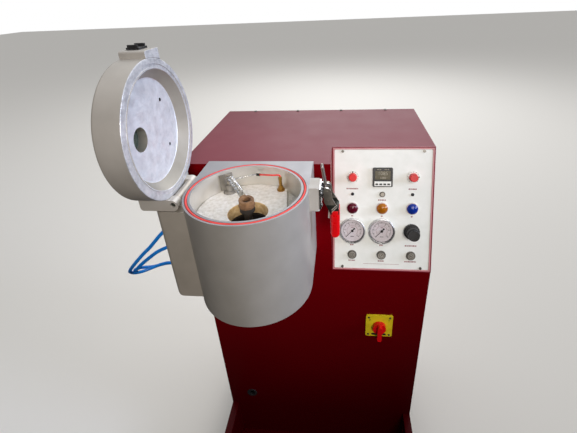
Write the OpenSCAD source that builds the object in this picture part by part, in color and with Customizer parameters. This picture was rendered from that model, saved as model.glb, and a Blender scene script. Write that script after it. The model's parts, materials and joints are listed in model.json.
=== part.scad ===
// Metal granulation machine: an induction melting chamber with a swing lid and a stopper rod,
// carried on the front of a painted cabinet with a sloping console.
// X runs to the right of the operator, Y to the back, Z up. The origin is on the floor, at the
// centre of the base.

/* [Cabinet] */
// Width over the side panels
cab_w = 600; // [540:5:680]
// Depth from the front panel to the rear cover
cab_d = 410; // [360:5:480]
// Height from the deck to the top panel
cab_h = 1074; // [1040:1:1150]
// Thickness of the painted sheet steel
sheet_t = 2.5; // [1.5:0.1:4]
// Distance between two screws along the top of the rear cover
cover_pitch = 140; // [110:5:150]
// Height of one louvre slot in the rear cover
louvre_h = 8; // [5:1:12]
// Length of one louvre slot in the rear cover
louvre_l = 150; // [100:5:180]
// Louvre slots in each of the two columns
louvre_count = 8; // [4:1:10]

/* [Base] */
// Length of the two cheeks in front of the cabinet
toe_l = 310; // [280:5:340]
// Width of each cheek
cheek_w = 22; // [18:1:30]
// Height of each cheek above the deck
cheek_h = 158; // [120:1:200]
// Height of the deck above the foot plates
deck_h = 34; // [25:1:50]
// Rounding of the upper front corner of each cheek
cheek_round = 40; // [10:5:60]
// Thickness of the deck and its skirts
deck_t = 4; // [3:0.5:6]
// Thickness of each foot plate
foot_t = 12; // [8:1:16]
// Side of each square foot plate
foot_side = 80; // [70:1:100]
// Distance across the machine between two anchor holes
anchor_x = 520; // [500:5:540]
// Distance front to back between two anchor holes
anchor_y = 640; // [620:5:660]
// Radius of each floor anchor hole
anchor_r = 7; // [5:0.5:9]

/* [Console] */
// Width of the sloping console
console_w = 250; // [246:1:260]
// Height of the sloping console, measured straight up
console_h = 304; // [302:1:320]
// Backward lean of the console from upright, in degrees
console_lean = 18.2; // [14:0.2:24]
// Width of the console frame's face
frame_face = 6.5; // [5:0.5:8]
// Height of the console frame above the slope
frame_h = 4.5; // [3.5:0.5:7]
// Thickness of the white front plate
plate_t = 3; // [2:0.5:4]
// Distance between the three columns of controls
column_pitch = 73.5; // [70:0.5:76]
// Radius of each plate screw head
plate_screw_r = 3.4; // [2.5:0.1:4]

/* [Console rows, down from the top edge, as shares of the slope] */
// Row of the two dial knobs and the controller
knobs_share = 0.2344; // [0.22:0.0001:0.24]
// Row of the indicator lights and the small button
leds_share = 0.37; // [0.36:0.0001:0.38]
// Row of the three signal lamps
lamps_share = 0.4812; // [0.47:0.0001:0.49]
// Row of the gauges and the regulator
gauges_share = 0.664; // [0.65:0.0001:0.68]
// Row of the three push buttons
buttons_share = 0.8625; // [0.85:0.0001:0.88]

/* [Controls] */
// Side of the square temperature controller
controller_side = 48; // [44:1:52]
// Height of the controller's bezel above the plate
controller_h = 5; // [4:0.5:8]
// Radius of each dial knob
knob_r = 9.6; // [8:0.1:12]
// Height of each dial knob
knob_h = 15; // [10:1:20]
// Radius of each signal lamp's lens
lens_r = 13.4; // [11:0.1:14]
// Height of each signal lamp's dome
lens_h = 7; // [4:0.5:10]
// Radius of each signal lamp's bezel
lamp_bezel_r = 15; // [14.6:0.1:17]
// Radius of each small indicator light
led_r = 3.8; // [3:0.1:5]
// Radius of the head of each push button's bezel
button_bezel_r = 11.4; // [10:0.1:13]
// Radius of each push button's face
button_r = 8; // [6:0.1:8.5]
// Travel of each push button
button_travel = 3; // [2:0.1:4]
// Radius of the small button's bezel
small_bezel_r = 7; // [6:0.1:8]
// Radius of the small button's face
small_button_r = 4.6; // [3.5:0.1:5]
// Travel of the small button
small_travel = 2; // [1:0.1:2.5]

/* [Gauges and regulator] */
// Outer radius of each gauge
gauge_r = 32.5; // [30:0.1:34]
// Width of each gauge's rim
gauge_rim = 4; // [3:0.1:5]
// Height of each gauge above the plate
gauge_h = 11; // [10:0.5:16]
// Length of each needle from its hub to its tip
needle_l = 22; // [16:0.5:24]
// Resting angle of the needles, turned from straight up, in degrees
needle_rest = 137; // [120:1:150]
// Radius of the regulator's bonnet
bonnet_r = 19.5; // [18:0.5:22]
// Height of the regulator's bonnet
bonnet_h = 8; // [5:0.5:12]
// Radius of the regulator knob at its foot
reg_knob_r = 16.5; // [14:0.5:18]
// Radius of the regulator knob at its end
reg_knob_end_r = 13; // [10:0.5:14]
// Height of the regulator knob
reg_knob_h = 31; // [20:1:40]

/* [Main switch] */
// Width of the yellow plate
switch_w = 74; // [60:1:84]
// Height of the yellow plate
switch_h = 82; // [70:1:92]
// Thickness of the yellow plate
switch_t = 4; // [2:0.5:6]
// Distance of the switch from the machine's middle
switch_x = 180; // [150:1:200]
// Height of the switch above the floor
switch_z = 617; // [560:1:680]
// Radius of the red knob's skirt
switch_knob_r = 18.5; // [15:0.5:22]
// Height of the red knob's skirt
switch_skirt_h = 12; // [8:1:16]
// Length of the red knob's handle from its axis
switch_handle_l = 33; // [25:1:36]
// Width of the red knob's handle
switch_handle_w = 12; // [8:0.5:16]
// Height of the red knob's handle above its skirt
switch_handle_h = 14; // [8:1:20]

/* [Chamber] */
// Outer radius of the chamber's round front, half its width
chamber_r = 120.5; // [119:0.5:126]
// Distance of the chamber's middle to the left of the machine's middle
chamber_left = 108.5; // [106:0.5:112]
// Distance of the bore's axis in front of the cabinet
chamber_out = 132; // [131:0.5:140]
// Height of the chamber's rim above the floor
chamber_top = 1127; // [1126:0.5:1135]
// Overall height of the chamber
chamber_h = 237; // [232:1:245]
// Radius of the chamber's bore
bore_r = 106.5; // [103:0.5:108]
// Thickness of the chamber's bottom
chamber_floor = 15; // [10:1:18]
// Radius of the sealing ring's circle
ring_r = 114; // [112.5:0.1:115]
// Radius of the sealing ring's own section
ring_section_r = 3; // [2.4:0.1:3.2]
// Height of the sealing ring above the rim
ring_proud = 0.6; // [0.3:0.1:0.8]

/* [Furnace] */
// Depth of the insulation board below the rim
board_depth = 45; // [42:1:60]
// Thickness of the insulation board
board_t = 27; // [22:1:30]
// Thickness of the loose segment, which lies lower
segment_t = 22; // [16:1:22]
// Width of the ledge that carries the board
ledge_w = 5.5; // [3:0.5:8]
// Distance of the loose segment's seam to the right of the bore's axis
seam_x = 77; // [72:1:82]
// Turn of the seam, seen from above, in degrees
seam_turn = 8.4; // [0:0.2:12]
// Distance of the melting axis in front of the bore's axis
melt_out = 10; // [6:0.5:14]
// Radius of the round opening over the crucible
mouth_r = 39.5; // [37:0.5:42]
// Outer radius of the crucible
crucible_r = 43; // [42:0.5:46]
// Wall of the crucible
crucible_wall = 7; // [5:0.5:9]
// Thickness of the crucible's floor
crucible_floor = 14; // [10:1:20]
// Radius of the drain in the crucible's floor
drain_r = 5; // [3:0.5:7]
// Wall of the refractory sleeve
sleeve_wall = 13; // [8:1:14]
// Thickness of the sleeve's floor
sleeve_floor = 9; // [6:1:12]
// Radius of the coil's turns
coil_r = 68; // [66:1:76]
// Radius of the coil's copper tube
coil_tube_r = 5; // [3:0.5:5.5]
// Rise of the coil in one turn
coil_pitch = 16; // [13:0.5:18]
// Turns of the coil
coil_turns = 6; // [4:1:6]
// Radius of the bore in the outlet
outlet_r = 9; // [7.5:0.5:11]
// Radius of the outlet flange
outlet_flange_r = 32; // [24:1:40]
// Height of the outlet flange
outlet_h = 14; // [10:1:20]

/* [Stopper rod] */
// Radius of the graphite rod
rod_r = 8; // [6.5:0.5:9]
// Radius of the rod's holder
holder_r = 17; // [14:0.5:19]
// Height of the holder
holder_h = 32; // [28:1:34]
// Height of the holder's underside above the board
holder_lift = 2; // [1:0.5:6]
// Radius of the lifting shaft
shaft_r = 5; // [4:0.5:7]
// Distance of the shaft to the left of the bore's axis
shaft_left = 59; // [57:1:62]
// Distance of the shaft behind the bore's axis
shaft_back = 70; // [68:1:73]
// Width of the flat arm
arm_w = 11; // [8:1:16]
// Thickness of the flat arm
arm_t = 5; // [4:0.5:6]
// Lift of the rod
rod_travel = 10; // [6:1:12]

/* [Lid] */
// Outer radius of the lid
lid_r = 127.5; // [126:0.5:129]
// Thickness of the lid
lid_t = 49; // [46:0.5:56]
// Radius of the recess at the lid's face
recess_r = 109; // [105:0.5:110]
// Radius of the recess at its floor
recess_floor_r = 96; // [88:1:100]
// Depth of the recess
recess_d = 20; // [16:1:25]
// Gap between the closed lid's rim and the chamber's rim
lid_gap = 0.5; // [0.4:0.1:1]
// Radius of the sight hole
sight_r = 21.5; // [17:0.5:23]
// Distance of the sight hole in front of the lid's middle
sight_out = 45; // [40:1:50]
// Radius of the sight glass
glass_r = 26; // [24.5:0.5:28]
// Thickness of the sight glass
glass_t = 8; // [5:0.5:10]
// Width of the clamp lug
lug_w = 48; // [44:1:54]
// Height of the clamp lug
lug_h = 46; // [40:1:47]
// Reach of the clamp lug past the hinge axis
lug_reach = 270; // [267:0.5:270.5]
// Distance of the clamp lug's middle behind the bore's axis
lug_back = 21; // [18:0.5:24]
// Thickness of the catch plate
catch_t = 3.5; // [2:0.5:3.5]
// Distance of the latch behind the bore's axis
latch_back = 30; // [26:1:36]

/* [Hinge] */
// Distance of the hinge axis outside the chamber's side
hinge_out = 10; // [9.5:0.5:12]
// Depth of the hinge axis below the chamber's rim
hinge_down = 8; // [7:0.5:10]
// Radius of the hinge pin
pin_r = 5; // [4:0.5:6]
// Radial running clearance of every pin and shaft
run_gap = 0.05; // [0.02:0.01:0.1]
// Radius of the eyes of the lid's arms
eye_r = 11.5; // [10:0.5:12]
// Radius of the post's knuckle
knuckle_r = 9; // [8:0.1:9.3]
// Width of each lid arm
arm_wide = 20; // [16:1:24]
// Length of each lid arm above its eye
arm_long = 66; // [58:1:76]
// Distance between the lid's two arms
arm_gap = 66; // [56:1:70]
// Distance of the front arm's front face in front of the bore's axis
arm_out = 46; // [42:1:50]
// Length of the post, front to back
post_l = 130; // [126:1:132]
// Rounding of the post's outer front and back edges
post_round = 10; // [6:1:16]
// Distance of the post's side from the hinge axis
post_wide = 38; // [32:1:42]
// Depth of the post's top below the hinge axis
post_down = 15; // [14.5:0.5:18]

/* [Latch] */
// Thickness of the clamp pad
pad_t = 20; // [18:0.5:20.5]
// Width of the clamp pad
pad_w = 44; // [38:1:50]
// Height of the clamp pad
pad_h = 52; // [48:1:60]
// Distance of the lever's pivot outside the pad
pivot_out = 15; // [13:0.5:17]
// Depth of the lever's pivot below the rim
pivot_down = 12; // [10:0.5:14]
// Radius of both latch pins
latch_pin_r = 3; // [2.5:0.1:3.5]
// Distance between the lever's pivot and the hook's pin
crank = 20; // [16:0.5:22]
// Height of the hook above its pin
hook_h = 75.5; // [72:0.5:80]
// Radius of the hook's wire
hook_wire_r = 2.5; // [2:0.1:2.8]
// Length of the red grip
grip_l = 60; // [50:1:75]
// Width of the red grip, seen from the front
grip_w = 19.5; // [16:0.5:23]

/* [Hoses] */
// Diameter of the blue air tubes
tube_d = 8; // [6:1:10]
// Length of each tube fitting
fitting_l = 16; // [12:1:20]
// Radius of each tube fitting
fitting_r = 7; // [6:0.5:8]

/* [Hidden] */
$fn = 64;

maroon = "#6e0a1c";
aluminium = "#b9bcc0";
painted = "#a29e96";
steel = "#8d9094";
dark_steel = "#3f433f";
brass = "#b08d4a";
white = "#eef0ee";
black = "#17181a";
red = "#c8141c";

// Small gap between pieces that meet without a fit
seat_gap = 0.3;
// Overshoot of a cut past the face that it opens
over = 1;
// Overlap that joins two shapes of one piece
weld = 0.5;

deck_z = foot_t + deck_h;
cab_top = deck_z + cab_h;
base_l = cab_d + toe_l;
base_front = -base_l / 2;
front_y = base_front + toe_l;
rear_y = base_l / 2;

console_x = cab_w / 2 - console_w / 2;
console_left = cab_w / 2 - console_w;
console_back = console_h * tan(console_lean);
console_foot = cab_top - console_h;
slope_l = console_h / cos(console_lean);
panel_w = console_w - 2 * frame_face - 2 * seat_gap;
panel_l = slope_l - 2 * frame_face - 2 * seat_gap;
panel_screw_x = panel_w / 2 - 20;
window_margin = 19;
row_knobs = knobs_share * slope_l;
row_leds = leds_share * slope_l;
row_lamps = lamps_share * slope_l;
row_gauges = gauges_share * slope_l;
row_buttons = buttons_share * slope_l;

chamber_x = -chamber_left;
chamber_y = front_y - chamber_out;
chamber_base = chamber_top - chamber_h;
chamber_inside = chamber_base + chamber_floor;
board_top = chamber_top - board_depth;
board_base = board_top - board_t;
melt_y = chamber_y - melt_out;
sleeve_base = chamber_inside + seat_gap;
crucible_base = sleeve_base + sleeve_floor + seat_gap;
crucible_top = board_base - seat_gap;
sleeve_r = crucible_r + seat_gap + sleeve_wall;
shaft_x = chamber_x - shaft_left;
shaft_y = chamber_y + shaft_back;
holder_base = board_top + holder_lift;
holder_top = holder_base + holder_h;
arm_base = holder_top;
shaft_foot = board_base - rod_travel - 1;

hinge_x = chamber_x - chamber_r - hinge_out;
hinge_z = chamber_top - hinge_down;
lid_face = chamber_top + ring_proud + lid_gap;
latch_y = chamber_y + latch_back;
side_x = chamber_x + chamber_r;
lug_end = hinge_x + lug_reach;
lug_y = chamber_y + lug_back;
arm_front = chamber_y - arm_out;
arm_rear = arm_front + 2 * arm_wide + arm_gap;
knuckle_front = arm_front + arm_wide + weld;
knuckle_l = arm_gap - 2 * weld;

pad_face = side_x + pad_t;
pivot_x = pad_face + pivot_out;
pivot_z = chamber_top - pivot_down;
hook_off = 0.5;
hook_pin_x = pivot_x + hook_off;
hook_pin_z = pivot_z - crank;
hook_in = 5;
cheek_in = 9;
cheek_t = 3;
ear_in = cheek_in + cheek_t + 1;
ear_t = 3;

// Base and sheet metal
access_r = 16;
pan_deep = 1;
pan_in = 8;
cover_edge = 8;
cover_flange = 16;
louvre_x = 130;
louvre_down = 140;
louvre_pitch = 26;
side_pitch = 80;
side_in = 12;
screw_r = 2;
socket_depth = 1;
front_hole_x = cab_w / 2 - 75;
front_hole_z = 266;
front_hole_r = 14;
grommet_lip = 2.5;
tube_grommet_r = 7;
lead_hole_r = coil_tube_r + 2;
rear_z = 200;
rear_pitch = 90;
port_r = 8;
port_in = 12;
water_r = 4;
water_nut = [13, 10];
water_tail = [6, 20];
gas_r = 3;
gas_nut = [11, 9];
gas_tail = [6.5, 12];
cable_r = 7;
cable_nut = [17, 8];
cable_tail = [12, 16];
barb_pitch = 5;

// Behind and on the console
panel_screw_row = frame_face + seat_gap + 4.2;
bezel_h = 4;
button_gap = 0.35;
collar_t = 1.5;
collar_w = 0.8;
body_wall = 0.8;
button_body_r = button_r + button_gap + collar_w + body_wall;
small_body_r = small_button_r + button_gap + collar_w + body_wall;
button_deep = 24;
lens_foot_r = lens_r - 3;
lamp_body_r = lens_r - 2;
lamp_deep = 26;
led_h = 3;
spindle_r = 3;
bushing_r = 4.5;
bushing_nut_r = 7;
bushing_nut_h = 2.5;
knob_deep = 10;
knob_lift = 0.6;
skirt_w = 5.5;
controller_body = 44.5;
controller_deep = 70;
key_pitch = controller_side * 0.2;
window_up = controller_side * 0.11;
window_w = controller_side * 0.8;
window_h = controller_side * 0.46;
window_deep = 2;
gauge_stem_r = 12;
gauge_port_r = 6.5;
gauge_bore_r = 3;
gauge_deep = 18;
gauge_floor = 2;
lens_seat = 3.5;
lens_ledge = 1.2;
glass_cover_t = 2;
dial_t = 1;
needle_pin_r = 0.8;
needle_hub_r = 3;
needle_hub_h = 2;
needle_lift = 0.4;
needle_t = 0.8;
needle_w = 1.3;
needle_tail = 8;
reg_stem_r = 15;
reg_deep = 40;
reg_spindle_r = 5;
reg_spindle_h = 12;
switch_body = 50;
switch_deep = 45;
switch_collar_h = 6;
switch_shaft_r = 4;
switch_shaft_l = 15;

// Chamber, furnace and stopper
groove_deep = 2 * ring_section_r - 0.6;
board_gap = 0.5;
seat_cone = 4;
tip_gap = 0.55;
nozzle_h = 22;
coil_base = crucible_base + 12;
coil_tail_y = front_y + 30;
guide_r = shaft_r + 5;
guide_top = board_top + 18;
guide_wing_h = 36;
guide_turn = atan2(shaft_back, -shaft_left);
guide_web = 8;
guide_wide = 30;
guide_t = 2.4;
guide_end = sqrt(pow(bore_r - seat_gap, 2) - pow(guide_wide / 2, 2)) - norm([shaft_left, shaft_back]);
gland_x = chamber_x + 52;
gland_y = chamber_y + 80;
gland_r = 7;
gland_stem_r = 5;
gland_h = 33;
lead_sleeve_r = 2.4;
lead_wire_r = 1.2;
holder_cup_r = 10;
rod_in = 20;
arm_turn = atan2(melt_y - shaft_y, chamber_x - shaft_x);
arm_l = norm([melt_y - shaft_y, chamber_x - shaft_x]) - holder_cup_r;

// Hinge, lid and latch
post_front = arm_front - 2;
post_reach = chamber_x - hinge_x + post_wide;
post_foot = 16;
eye_clear = 0.5;
eye_off = eye_r - hinge_out + eye_clear;
eye_x = hinge_x - eye_off;
eye_z = hinge_z + eye_off;
pin_sink = 4;
arm_corner = 6;
lid_round = 5;
track_in = 2.5;
track_w = 6;
track_deep = 1.5;
glass_sink = 12;
ring_h = 8;
port_x = 45;
port_y = 49;
lug_round = 4;
catch_w = 28;
catch_h = 26;
catch_z = lid_face + lug_h - catch_h - 3;
catch_ear = 4.5;
catch_ear_t = 4;
catch_ear_h = 18;
catch_screw_l = 10;
latch_bolt_y = 17;
base_w = pad_w;
base_t = 3;
grip_x = pivot_x + 15;
grip_top = pivot_z - 51;
grip_deep = 24;
strip_x = grip_x - grip_w / 2 - 0.6;
tang_w = 16;
tang_l = 30;
hook_lean = 8;
hook_eye_r = 6;

// Air tubes: fittings on the post, and their routes to the grommets in the front panel
fitting_y = chamber_y + 32;
fitting_z = [chamber_top - 112, chamber_top - 165];
fitting_stem_r = 5;
fitting_in = 8;
upper_end = [-270, -44, 862];
lower_end = [-252, -44, 851];
upper_route = [
    [-285, -150, 1015], [-296, -150, 1015], [-313, -152, 1007], [-330, -154, 992], [-346, -155, 975],
    [-362, -156, 958], [-378, -157, 943], [-394, -158, 927], [-409, -158, 911], [-424, -153, 894],
    [-438, -145, 877], [-448, -132, 860], [-449, -118, 845], [-439, -104, 837], [-422, -93, 838],
    [-400, -89, 846], [-378, -90, 855], [-355, -94, 861], [-331, -96, 863], [-308, -93, 863],
    [-287, -85, 862], [-274, -70, 862], [-270, -54, 862], upper_end
];
lower_route = [
    [-285, -150, 962], [-296, -150, 962], [-314, -150, 959], [-334, -151, 951], [-353, -151, 940],
    [-371, -151, 926], [-388, -150, 912], [-405, -149, 897], [-420, -144, 881], [-433, -135, 868],
    [-442, -120, 858], [-446, -104, 848], [-439, -90, 839], [-422, -81, 834], [-402, -78, 838],
    [-381, -79, 845], [-359, -81, 849], [-337, -82, 851], [-314, -83, 851], [-292, -83, 851],
    [-270, -79, 851], [-256, -66, 851], [-252, -52, 851], lower_end
];

// The lead's points are measured from the middle of the gland's top
lead_start = [gland_x, gland_y, board_top + gland_h];
lead_steps = [
    [0, 0, -2], [0, 0, 2], [-3.5, -1, 5], [-11.5, -1, 4], [-27.5, 4, 1], [-41.5, 12, -2], [-47.5, 14, -3],
    [-48.5, 14, -3], [-53.5, 15, -3], [-54.5, 15, -3], [-63.5, 15, -4], [-77.5, 12, -6], [-91.5, 6, -7],
    [-99.5, 3, -7]
];
lead_points = [for (step = lead_steps) lead_start + step];

// Power unit
gen_w = 460;
gen_d = 280;
gen_h = 420;
gen_front = front_y + 60;
gen_post = 60;
gen_post_in = 40;
gen_post_d = 50;
head_side = 20;
head_edge = 30;
head_d = 160;

// Shapes that several pieces use

module box(low, high) {
    translate(low) cube(high - low);
}

// A cylinder that starts at height z
module barrel(z, r, h) {
    translate([0, 0, z]) cylinder(r = r, h = h);
}

module on_bore(z) {
    translate([chamber_x, chamber_y, z]) children();
}

module on_melt(z) {
    translate([chamber_x, melt_y, z]) children();
}

module on_shaft(z) {
    translate([shaft_x, shaft_y, z]) children();
}

module tube(r_out, r_in, h) {
    difference() {
        cylinder(r = r_out, h = h);
        barrel(-over, r_in, h + 2 * over);
    }
}

module round_plate(w, l, r, h) {
    linear_extrude(h) {
        square([w - 2 * r, l], center = true);
        square([w, l - 2 * r], center = true);
        for (sx = [-1, 1], sy = [-1, 1]) translate([sx * (w / 2 - r), sy * (l / 2 - r)]) circle(r);
    }
}

// A place on the console: u across from its middle, v down from its top edge, z out of the slope
module on_console(u, v, lift = 0) {
    translate([console_x, front_y + console_back, cab_top])
        rotate([90 - console_lean, 0, 0])
            translate([u, -v, lift]) children();
}

// A place on the front panel, with z pointing at the operator
module on_front(x, z) {
    translate([x, front_y, z]) rotate([90, 0, 0]) children();
}

// The open lid: its pieces are drawn closed and swung back about the hinge
module opened() {
    translate([hinge_x, 0, hinge_z]) rotate([0, -90, 0]) translate([-hinge_x, 0, -hinge_z]) children();
}

module along_y(r, y_low, y_high, x, z) {
    translate([x, y_high, z]) rotate([90, 0, 0]) cylinder(r = r, h = y_high - y_low);
}

// A round tube swept along a list of points, of one radius or of one for each point
function unit(v) = v / norm(v);
function heading(p, i) = unit(p[min(i + 1, len(p) - 1)] - p[max(i - 1, 0)]);
function sideways(t, hint) = unit(cross(t, hint));
function ring_points(p, i, radius, sides, hint) =
    let(t = heading(p, i), a = sideways(t, hint), b = cross(t, a), r = is_num(radius) ? radius : radius[i])
    [for (k = [0:sides - 1]) p[i] + r * (cos(360 * k / sides) * a + sin(360 * k / sides) * b)];

// The least distance between two points of a list that lie more than apart places from each other
function least_gap(p, apart) =
    min([for (i = [0:len(p) - apart - 2], k = [i + apart + 1:len(p) - 1]) norm(p[k] - p[i])]);

module sweep(p, radius, sides, hint) {
    n = len(p);
    points = [for (i = [0:n - 1]) each ring_points(p, i, radius, sides, hint)];
    walls = [for (i = [0:n - 2], k = [0:sides - 1])
        let(a = i * sides + k, b = i * sides + (k + 1) % sides)
        each [[a, a + sides, b], [b, a + sides, b + sides]]];
    start = [for (k = [1:sides - 2]) [0, k, k + 1]];
    last = (n - 1) * sides;
    finish = [for (k = [1:sides - 2]) [last, last + k + 1, last + k]];
    polyhedron(points, concat(walls, start, finish));
}

// Base and cabinet

module cheek_profile(inset) {
    tall = deck_h + cheek_h;
    translate([base_front + inset, foot_t]) square([toe_l - inset, tall - cheek_round]);
    translate([base_front + cheek_round, foot_t]) square([toe_l - cheek_round, tall - inset]);
    translate([base_front + cheek_round, foot_t + tall - cheek_round]) circle(cheek_round - inset);
}

module cheek_slab(left, width, inset) {
    translate([left, 0, 0]) rotate([90, 0, 90]) linear_extrude(width) cheek_profile(inset);
}

module base_frame() color(maroon) difference() {
    union() {
        difference() {
            box([-cab_w / 2, base_front, foot_t - weld], [cab_w / 2, rear_y, deck_z]);
            box([-cab_w / 2 + deck_t, base_front + deck_t, -over],
                [cab_w / 2 - deck_t, rear_y - deck_t, deck_z - deck_t]);
        }
        for (sx = [0, 1], sy = [0, 1]) mirror([sx, 0, 0]) mirror([0, sy, 0])
            box([anchor_x / 2 - foot_side / 2, anchor_y / 2 - foot_side / 2, 0],
                [cab_w / 2, base_l / 2, foot_t]);
        for (left = [-cab_w / 2, cab_w / 2 - cheek_w]) cheek_slab(left, cheek_w, 0);
    }
    for (left = [-cab_w / 2, cab_w / 2 - cheek_w]) cheek_slab(left + deck_t, cheek_w - 2 * deck_t, deck_t);
    box([cheek_w + pan_in - cab_w / 2, base_front + pan_in, deck_z - pan_deep],
        [cab_w / 2 - cheek_w - pan_in, front_y - pan_in, deck_z + over]);
    for (sx = [-1, 1], sy = [-1, 1]) translate([sx * anchor_x / 2, sy * anchor_y / 2, 0]) {
        barrel(-over, anchor_r, foot_t + 2 * over);
        barrel(foot_t + over, access_r, deck_h + over);
    }
}

function slope_y(z, inset) = front_y + inset / cos(console_lean) + (z - console_foot) * tan(console_lean);
function slope_z(y, inset) = console_foot + (y - front_y - inset / cos(console_lean)) / tan(console_lean);

module cabinet_form(inset, past) {
    low = deck_z - past;
    top = cab_top - inset;
    back = rear_y + past;
    box([-cab_w / 2 + inset, front_y + inset, low], [console_left - inset, back, top]);
    profile = [
        [front_y + inset, low], [back, low], [back, top], [slope_y(top, inset), top],
        [front_y + inset, slope_z(front_y + inset, inset)]
    ];
    left = console_left - sheet_t - (inset > 0 ? weld : 0);
    translate([left, 0, 0]) rotate([90, 0, 90]) linear_extrude(cab_w / 2 - inset - left) polygon(profile);
}

module cover_screw_places() {
    for (i = [0:3]) translate([(i - 1.5) * cover_pitch, rear_y - cover_edge, cab_top]) children();
}

module side_screw_places() {
    for (i = [0:3]) translate([cab_w / 2, slope_y(cab_top - 30 - i * side_pitch, 0) + side_in,
        cab_top - 30 - i * side_pitch])
        rotate([0, 90, 0]) children();
}

module panel_screw_places() {
    for (su = [-1, 1], v = [panel_screw_row, slope_l - panel_screw_row])
        on_console(su * panel_screw_x, v, plate_t) children();
}

module switch_screw_places() {
    for (sx = [-1, 1], sz = [-1, 1])
        on_front(switch_x + sx * (switch_w / 2 - 8), switch_z + sz * (switch_h / 2 - 8))
            translate([0, 0, switch_t]) children();
}

module screw_hole() {
    barrel(-4 * sheet_t, screw_r + seat_gap, 5 * sheet_t);
}

module cabinet_shell() color(maroon) difference() {
    cabinet_form(0, 0);
    cabinet_form(sheet_t, over);
    on_console(0, slope_l / 2, -sheet_t - 2 * over)
        round_plate(panel_w - 2 * window_margin, panel_l - 2 * window_margin, 4, sheet_t + 4 * over);
    on_front(switch_x, switch_z) translate([0, 0, -sheet_t - over])
        round_plate(switch_body + 1, switch_body + 1, 3, sheet_t + 2 * over);
    on_front(-front_hole_x, front_hole_z) barrel(-sheet_t - over, front_hole_r, sheet_t + 2 * over);
    for (end = [upper_end, lower_end]) on_front(end[0], end[2]) translate([0, 0, -sheet_t - over])
        cylinder(r = tube_grommet_r, h = sheet_t + 2 * over);
    for (s = [-1, 1]) on_front(chamber_x + s * coil_r, lead_z(s)) translate([0, 0, -sheet_t - over])
        cylinder(r = lead_hole_r, h = sheet_t + 2 * over);
    cover_screw_places() screw_hole();
    side_screw_places() screw_hole();
    panel_screw_places() screw_hole();
    switch_screw_places() screw_hole();
}

module louvre() {
    reach = louvre_h * 0.7;
    intersection() {
        difference() {
            rotate([0, 90, 0]) cylinder(r = louvre_h, h = louvre_l, center = true);
            rotate([0, 90, 0]) cylinder(r = louvre_h - sheet_t, h = louvre_l - 2 * sheet_t, center = true);
        }
        box([-louvre_l, -sheet_t, 0], [louvre_l, reach, louvre_h + over]);
    }
}

module louvre_places() {
    for (sx = [-1, 1], i = [0:louvre_count - 1])
        translate([sx * louvre_x, rear_y, cab_top - louvre_down - i * louvre_pitch]) children();
}

module rear_cover() color(maroon) {
    wide = cab_w / 2 - sheet_t - seat_gap;
    low = deck_z + seat_gap;
    top = cab_top - sheet_t - seat_gap;
    difference() {
        box([-wide, rear_y - cover_flange, low], [wide, rear_y, top]);
        box([-wide + sheet_t, rear_y - cover_flange - over, low + sheet_t],
            [wide - sheet_t, rear_y - sheet_t, top - sheet_t]);
        louvre_places() box([-louvre_l / 2 + sheet_t, -sheet_t - over, 0],
            [louvre_l / 2 - sheet_t, over, louvre_h - sheet_t]);
        cover_screw_places() screw_hole();
        for (i = [0:3]) rear_place(i) translate([0, 0, -sheet_t - over])
            cylinder(r = port_r + seat_gap, h = sheet_t + 2 * over);
    }
    louvre_places() louvre();
}

module rear_place(i) {
    translate([(i - 1.5) * rear_pitch, rear_y, rear_z]) rotate([-90, 0, 0]) children();
}

// A connection through the rear cover; nut and tail are a radius and a height each
module port(nut, tail, bore, barbs = 0) {
    difference() {
        union() {
            barrel(-port_in, port_r, port_in + weld);
            cylinder(r = nut[0], h = nut[1], $fn = 6);
            translate([0, 0, nut[1] - weld]) cylinder(r = tail[0], h = tail[1] + weld);
            for (i = [1:1:barbs]) translate([0, 0, nut[1] + tail[1] - i * barb_pitch])
                cylinder(r1 = tail[0] + 1.6, r2 = tail[0], h = barb_pitch - over);
        }
        barrel(-port_in - over, bore, port_in + nut[1] + tail[1] + 2 * over);
    }
}

module rear_connections() {
    for (i = [0:1]) rear_place(i) color(brass) port(water_nut, water_tail, water_r, 3);
    rear_place(2) color(brass) port(gas_nut, gas_tail, gas_r);
    rear_place(3) color(black) port(cable_nut, cable_tail, cable_r);
}

module screw(head_r, head_h, l) {
    difference() {
        union() {
            cylinder(r = head_r, h = head_h);
            barrel(-l, screw_r, l + weld);
        }
        translate([0, 0, head_h - socket_depth]) cylinder(r = head_r * 0.5, h = socket_depth + over, $fn = 6);
    }
}

module fasteners() color(steel) {
    cover_screw_places() screw(4.5, 2.4, 7);
    side_screw_places() screw(3, 1.6, 6);
    panel_screw_places() screw(plate_screw_r, 2, plate_t + sheet_t + 2);
    switch_screw_places() screw(3, 1.6, switch_t + sheet_t + 2);
}

module grommet(r, bore, depth) {
    difference() {
        union() {
            cylinder(r = r + grommet_lip, h = grommet_lip);
            barrel(-sheet_t - depth, r - seat_gap, sheet_t + depth + weld);
            barrel(-sheet_t - depth, r + grommet_lip, depth - seat_gap);
        }
        barrel(-sheet_t - depth - over, bore, sheet_t + depth + grommet_lip + 2 * over);
    }
}

module grommets() color(black) {
    on_front(-front_hole_x, front_hole_z) grommet(front_hole_r, front_hole_r - 4, 3);
    for (end = [upper_end, lower_end]) on_front(end[0], end[2])
        grommet(tube_grommet_r, tube_d / 2 + seat_gap, 3);
}

// Console and its controls

module console_frame() color(maroon) on_console(0, slope_l / 2) difference() {
    translate([-console_w / 2, -slope_l / 2, 0]) cube([console_w, slope_l, frame_h]);
    translate([0, 0, -over])
        round_plate(console_w - 2 * frame_face, slope_l - 2 * frame_face, 3, frame_h + 2 * over);
    translate([0, 0, frame_h]) frame_bevel();
}

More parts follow.
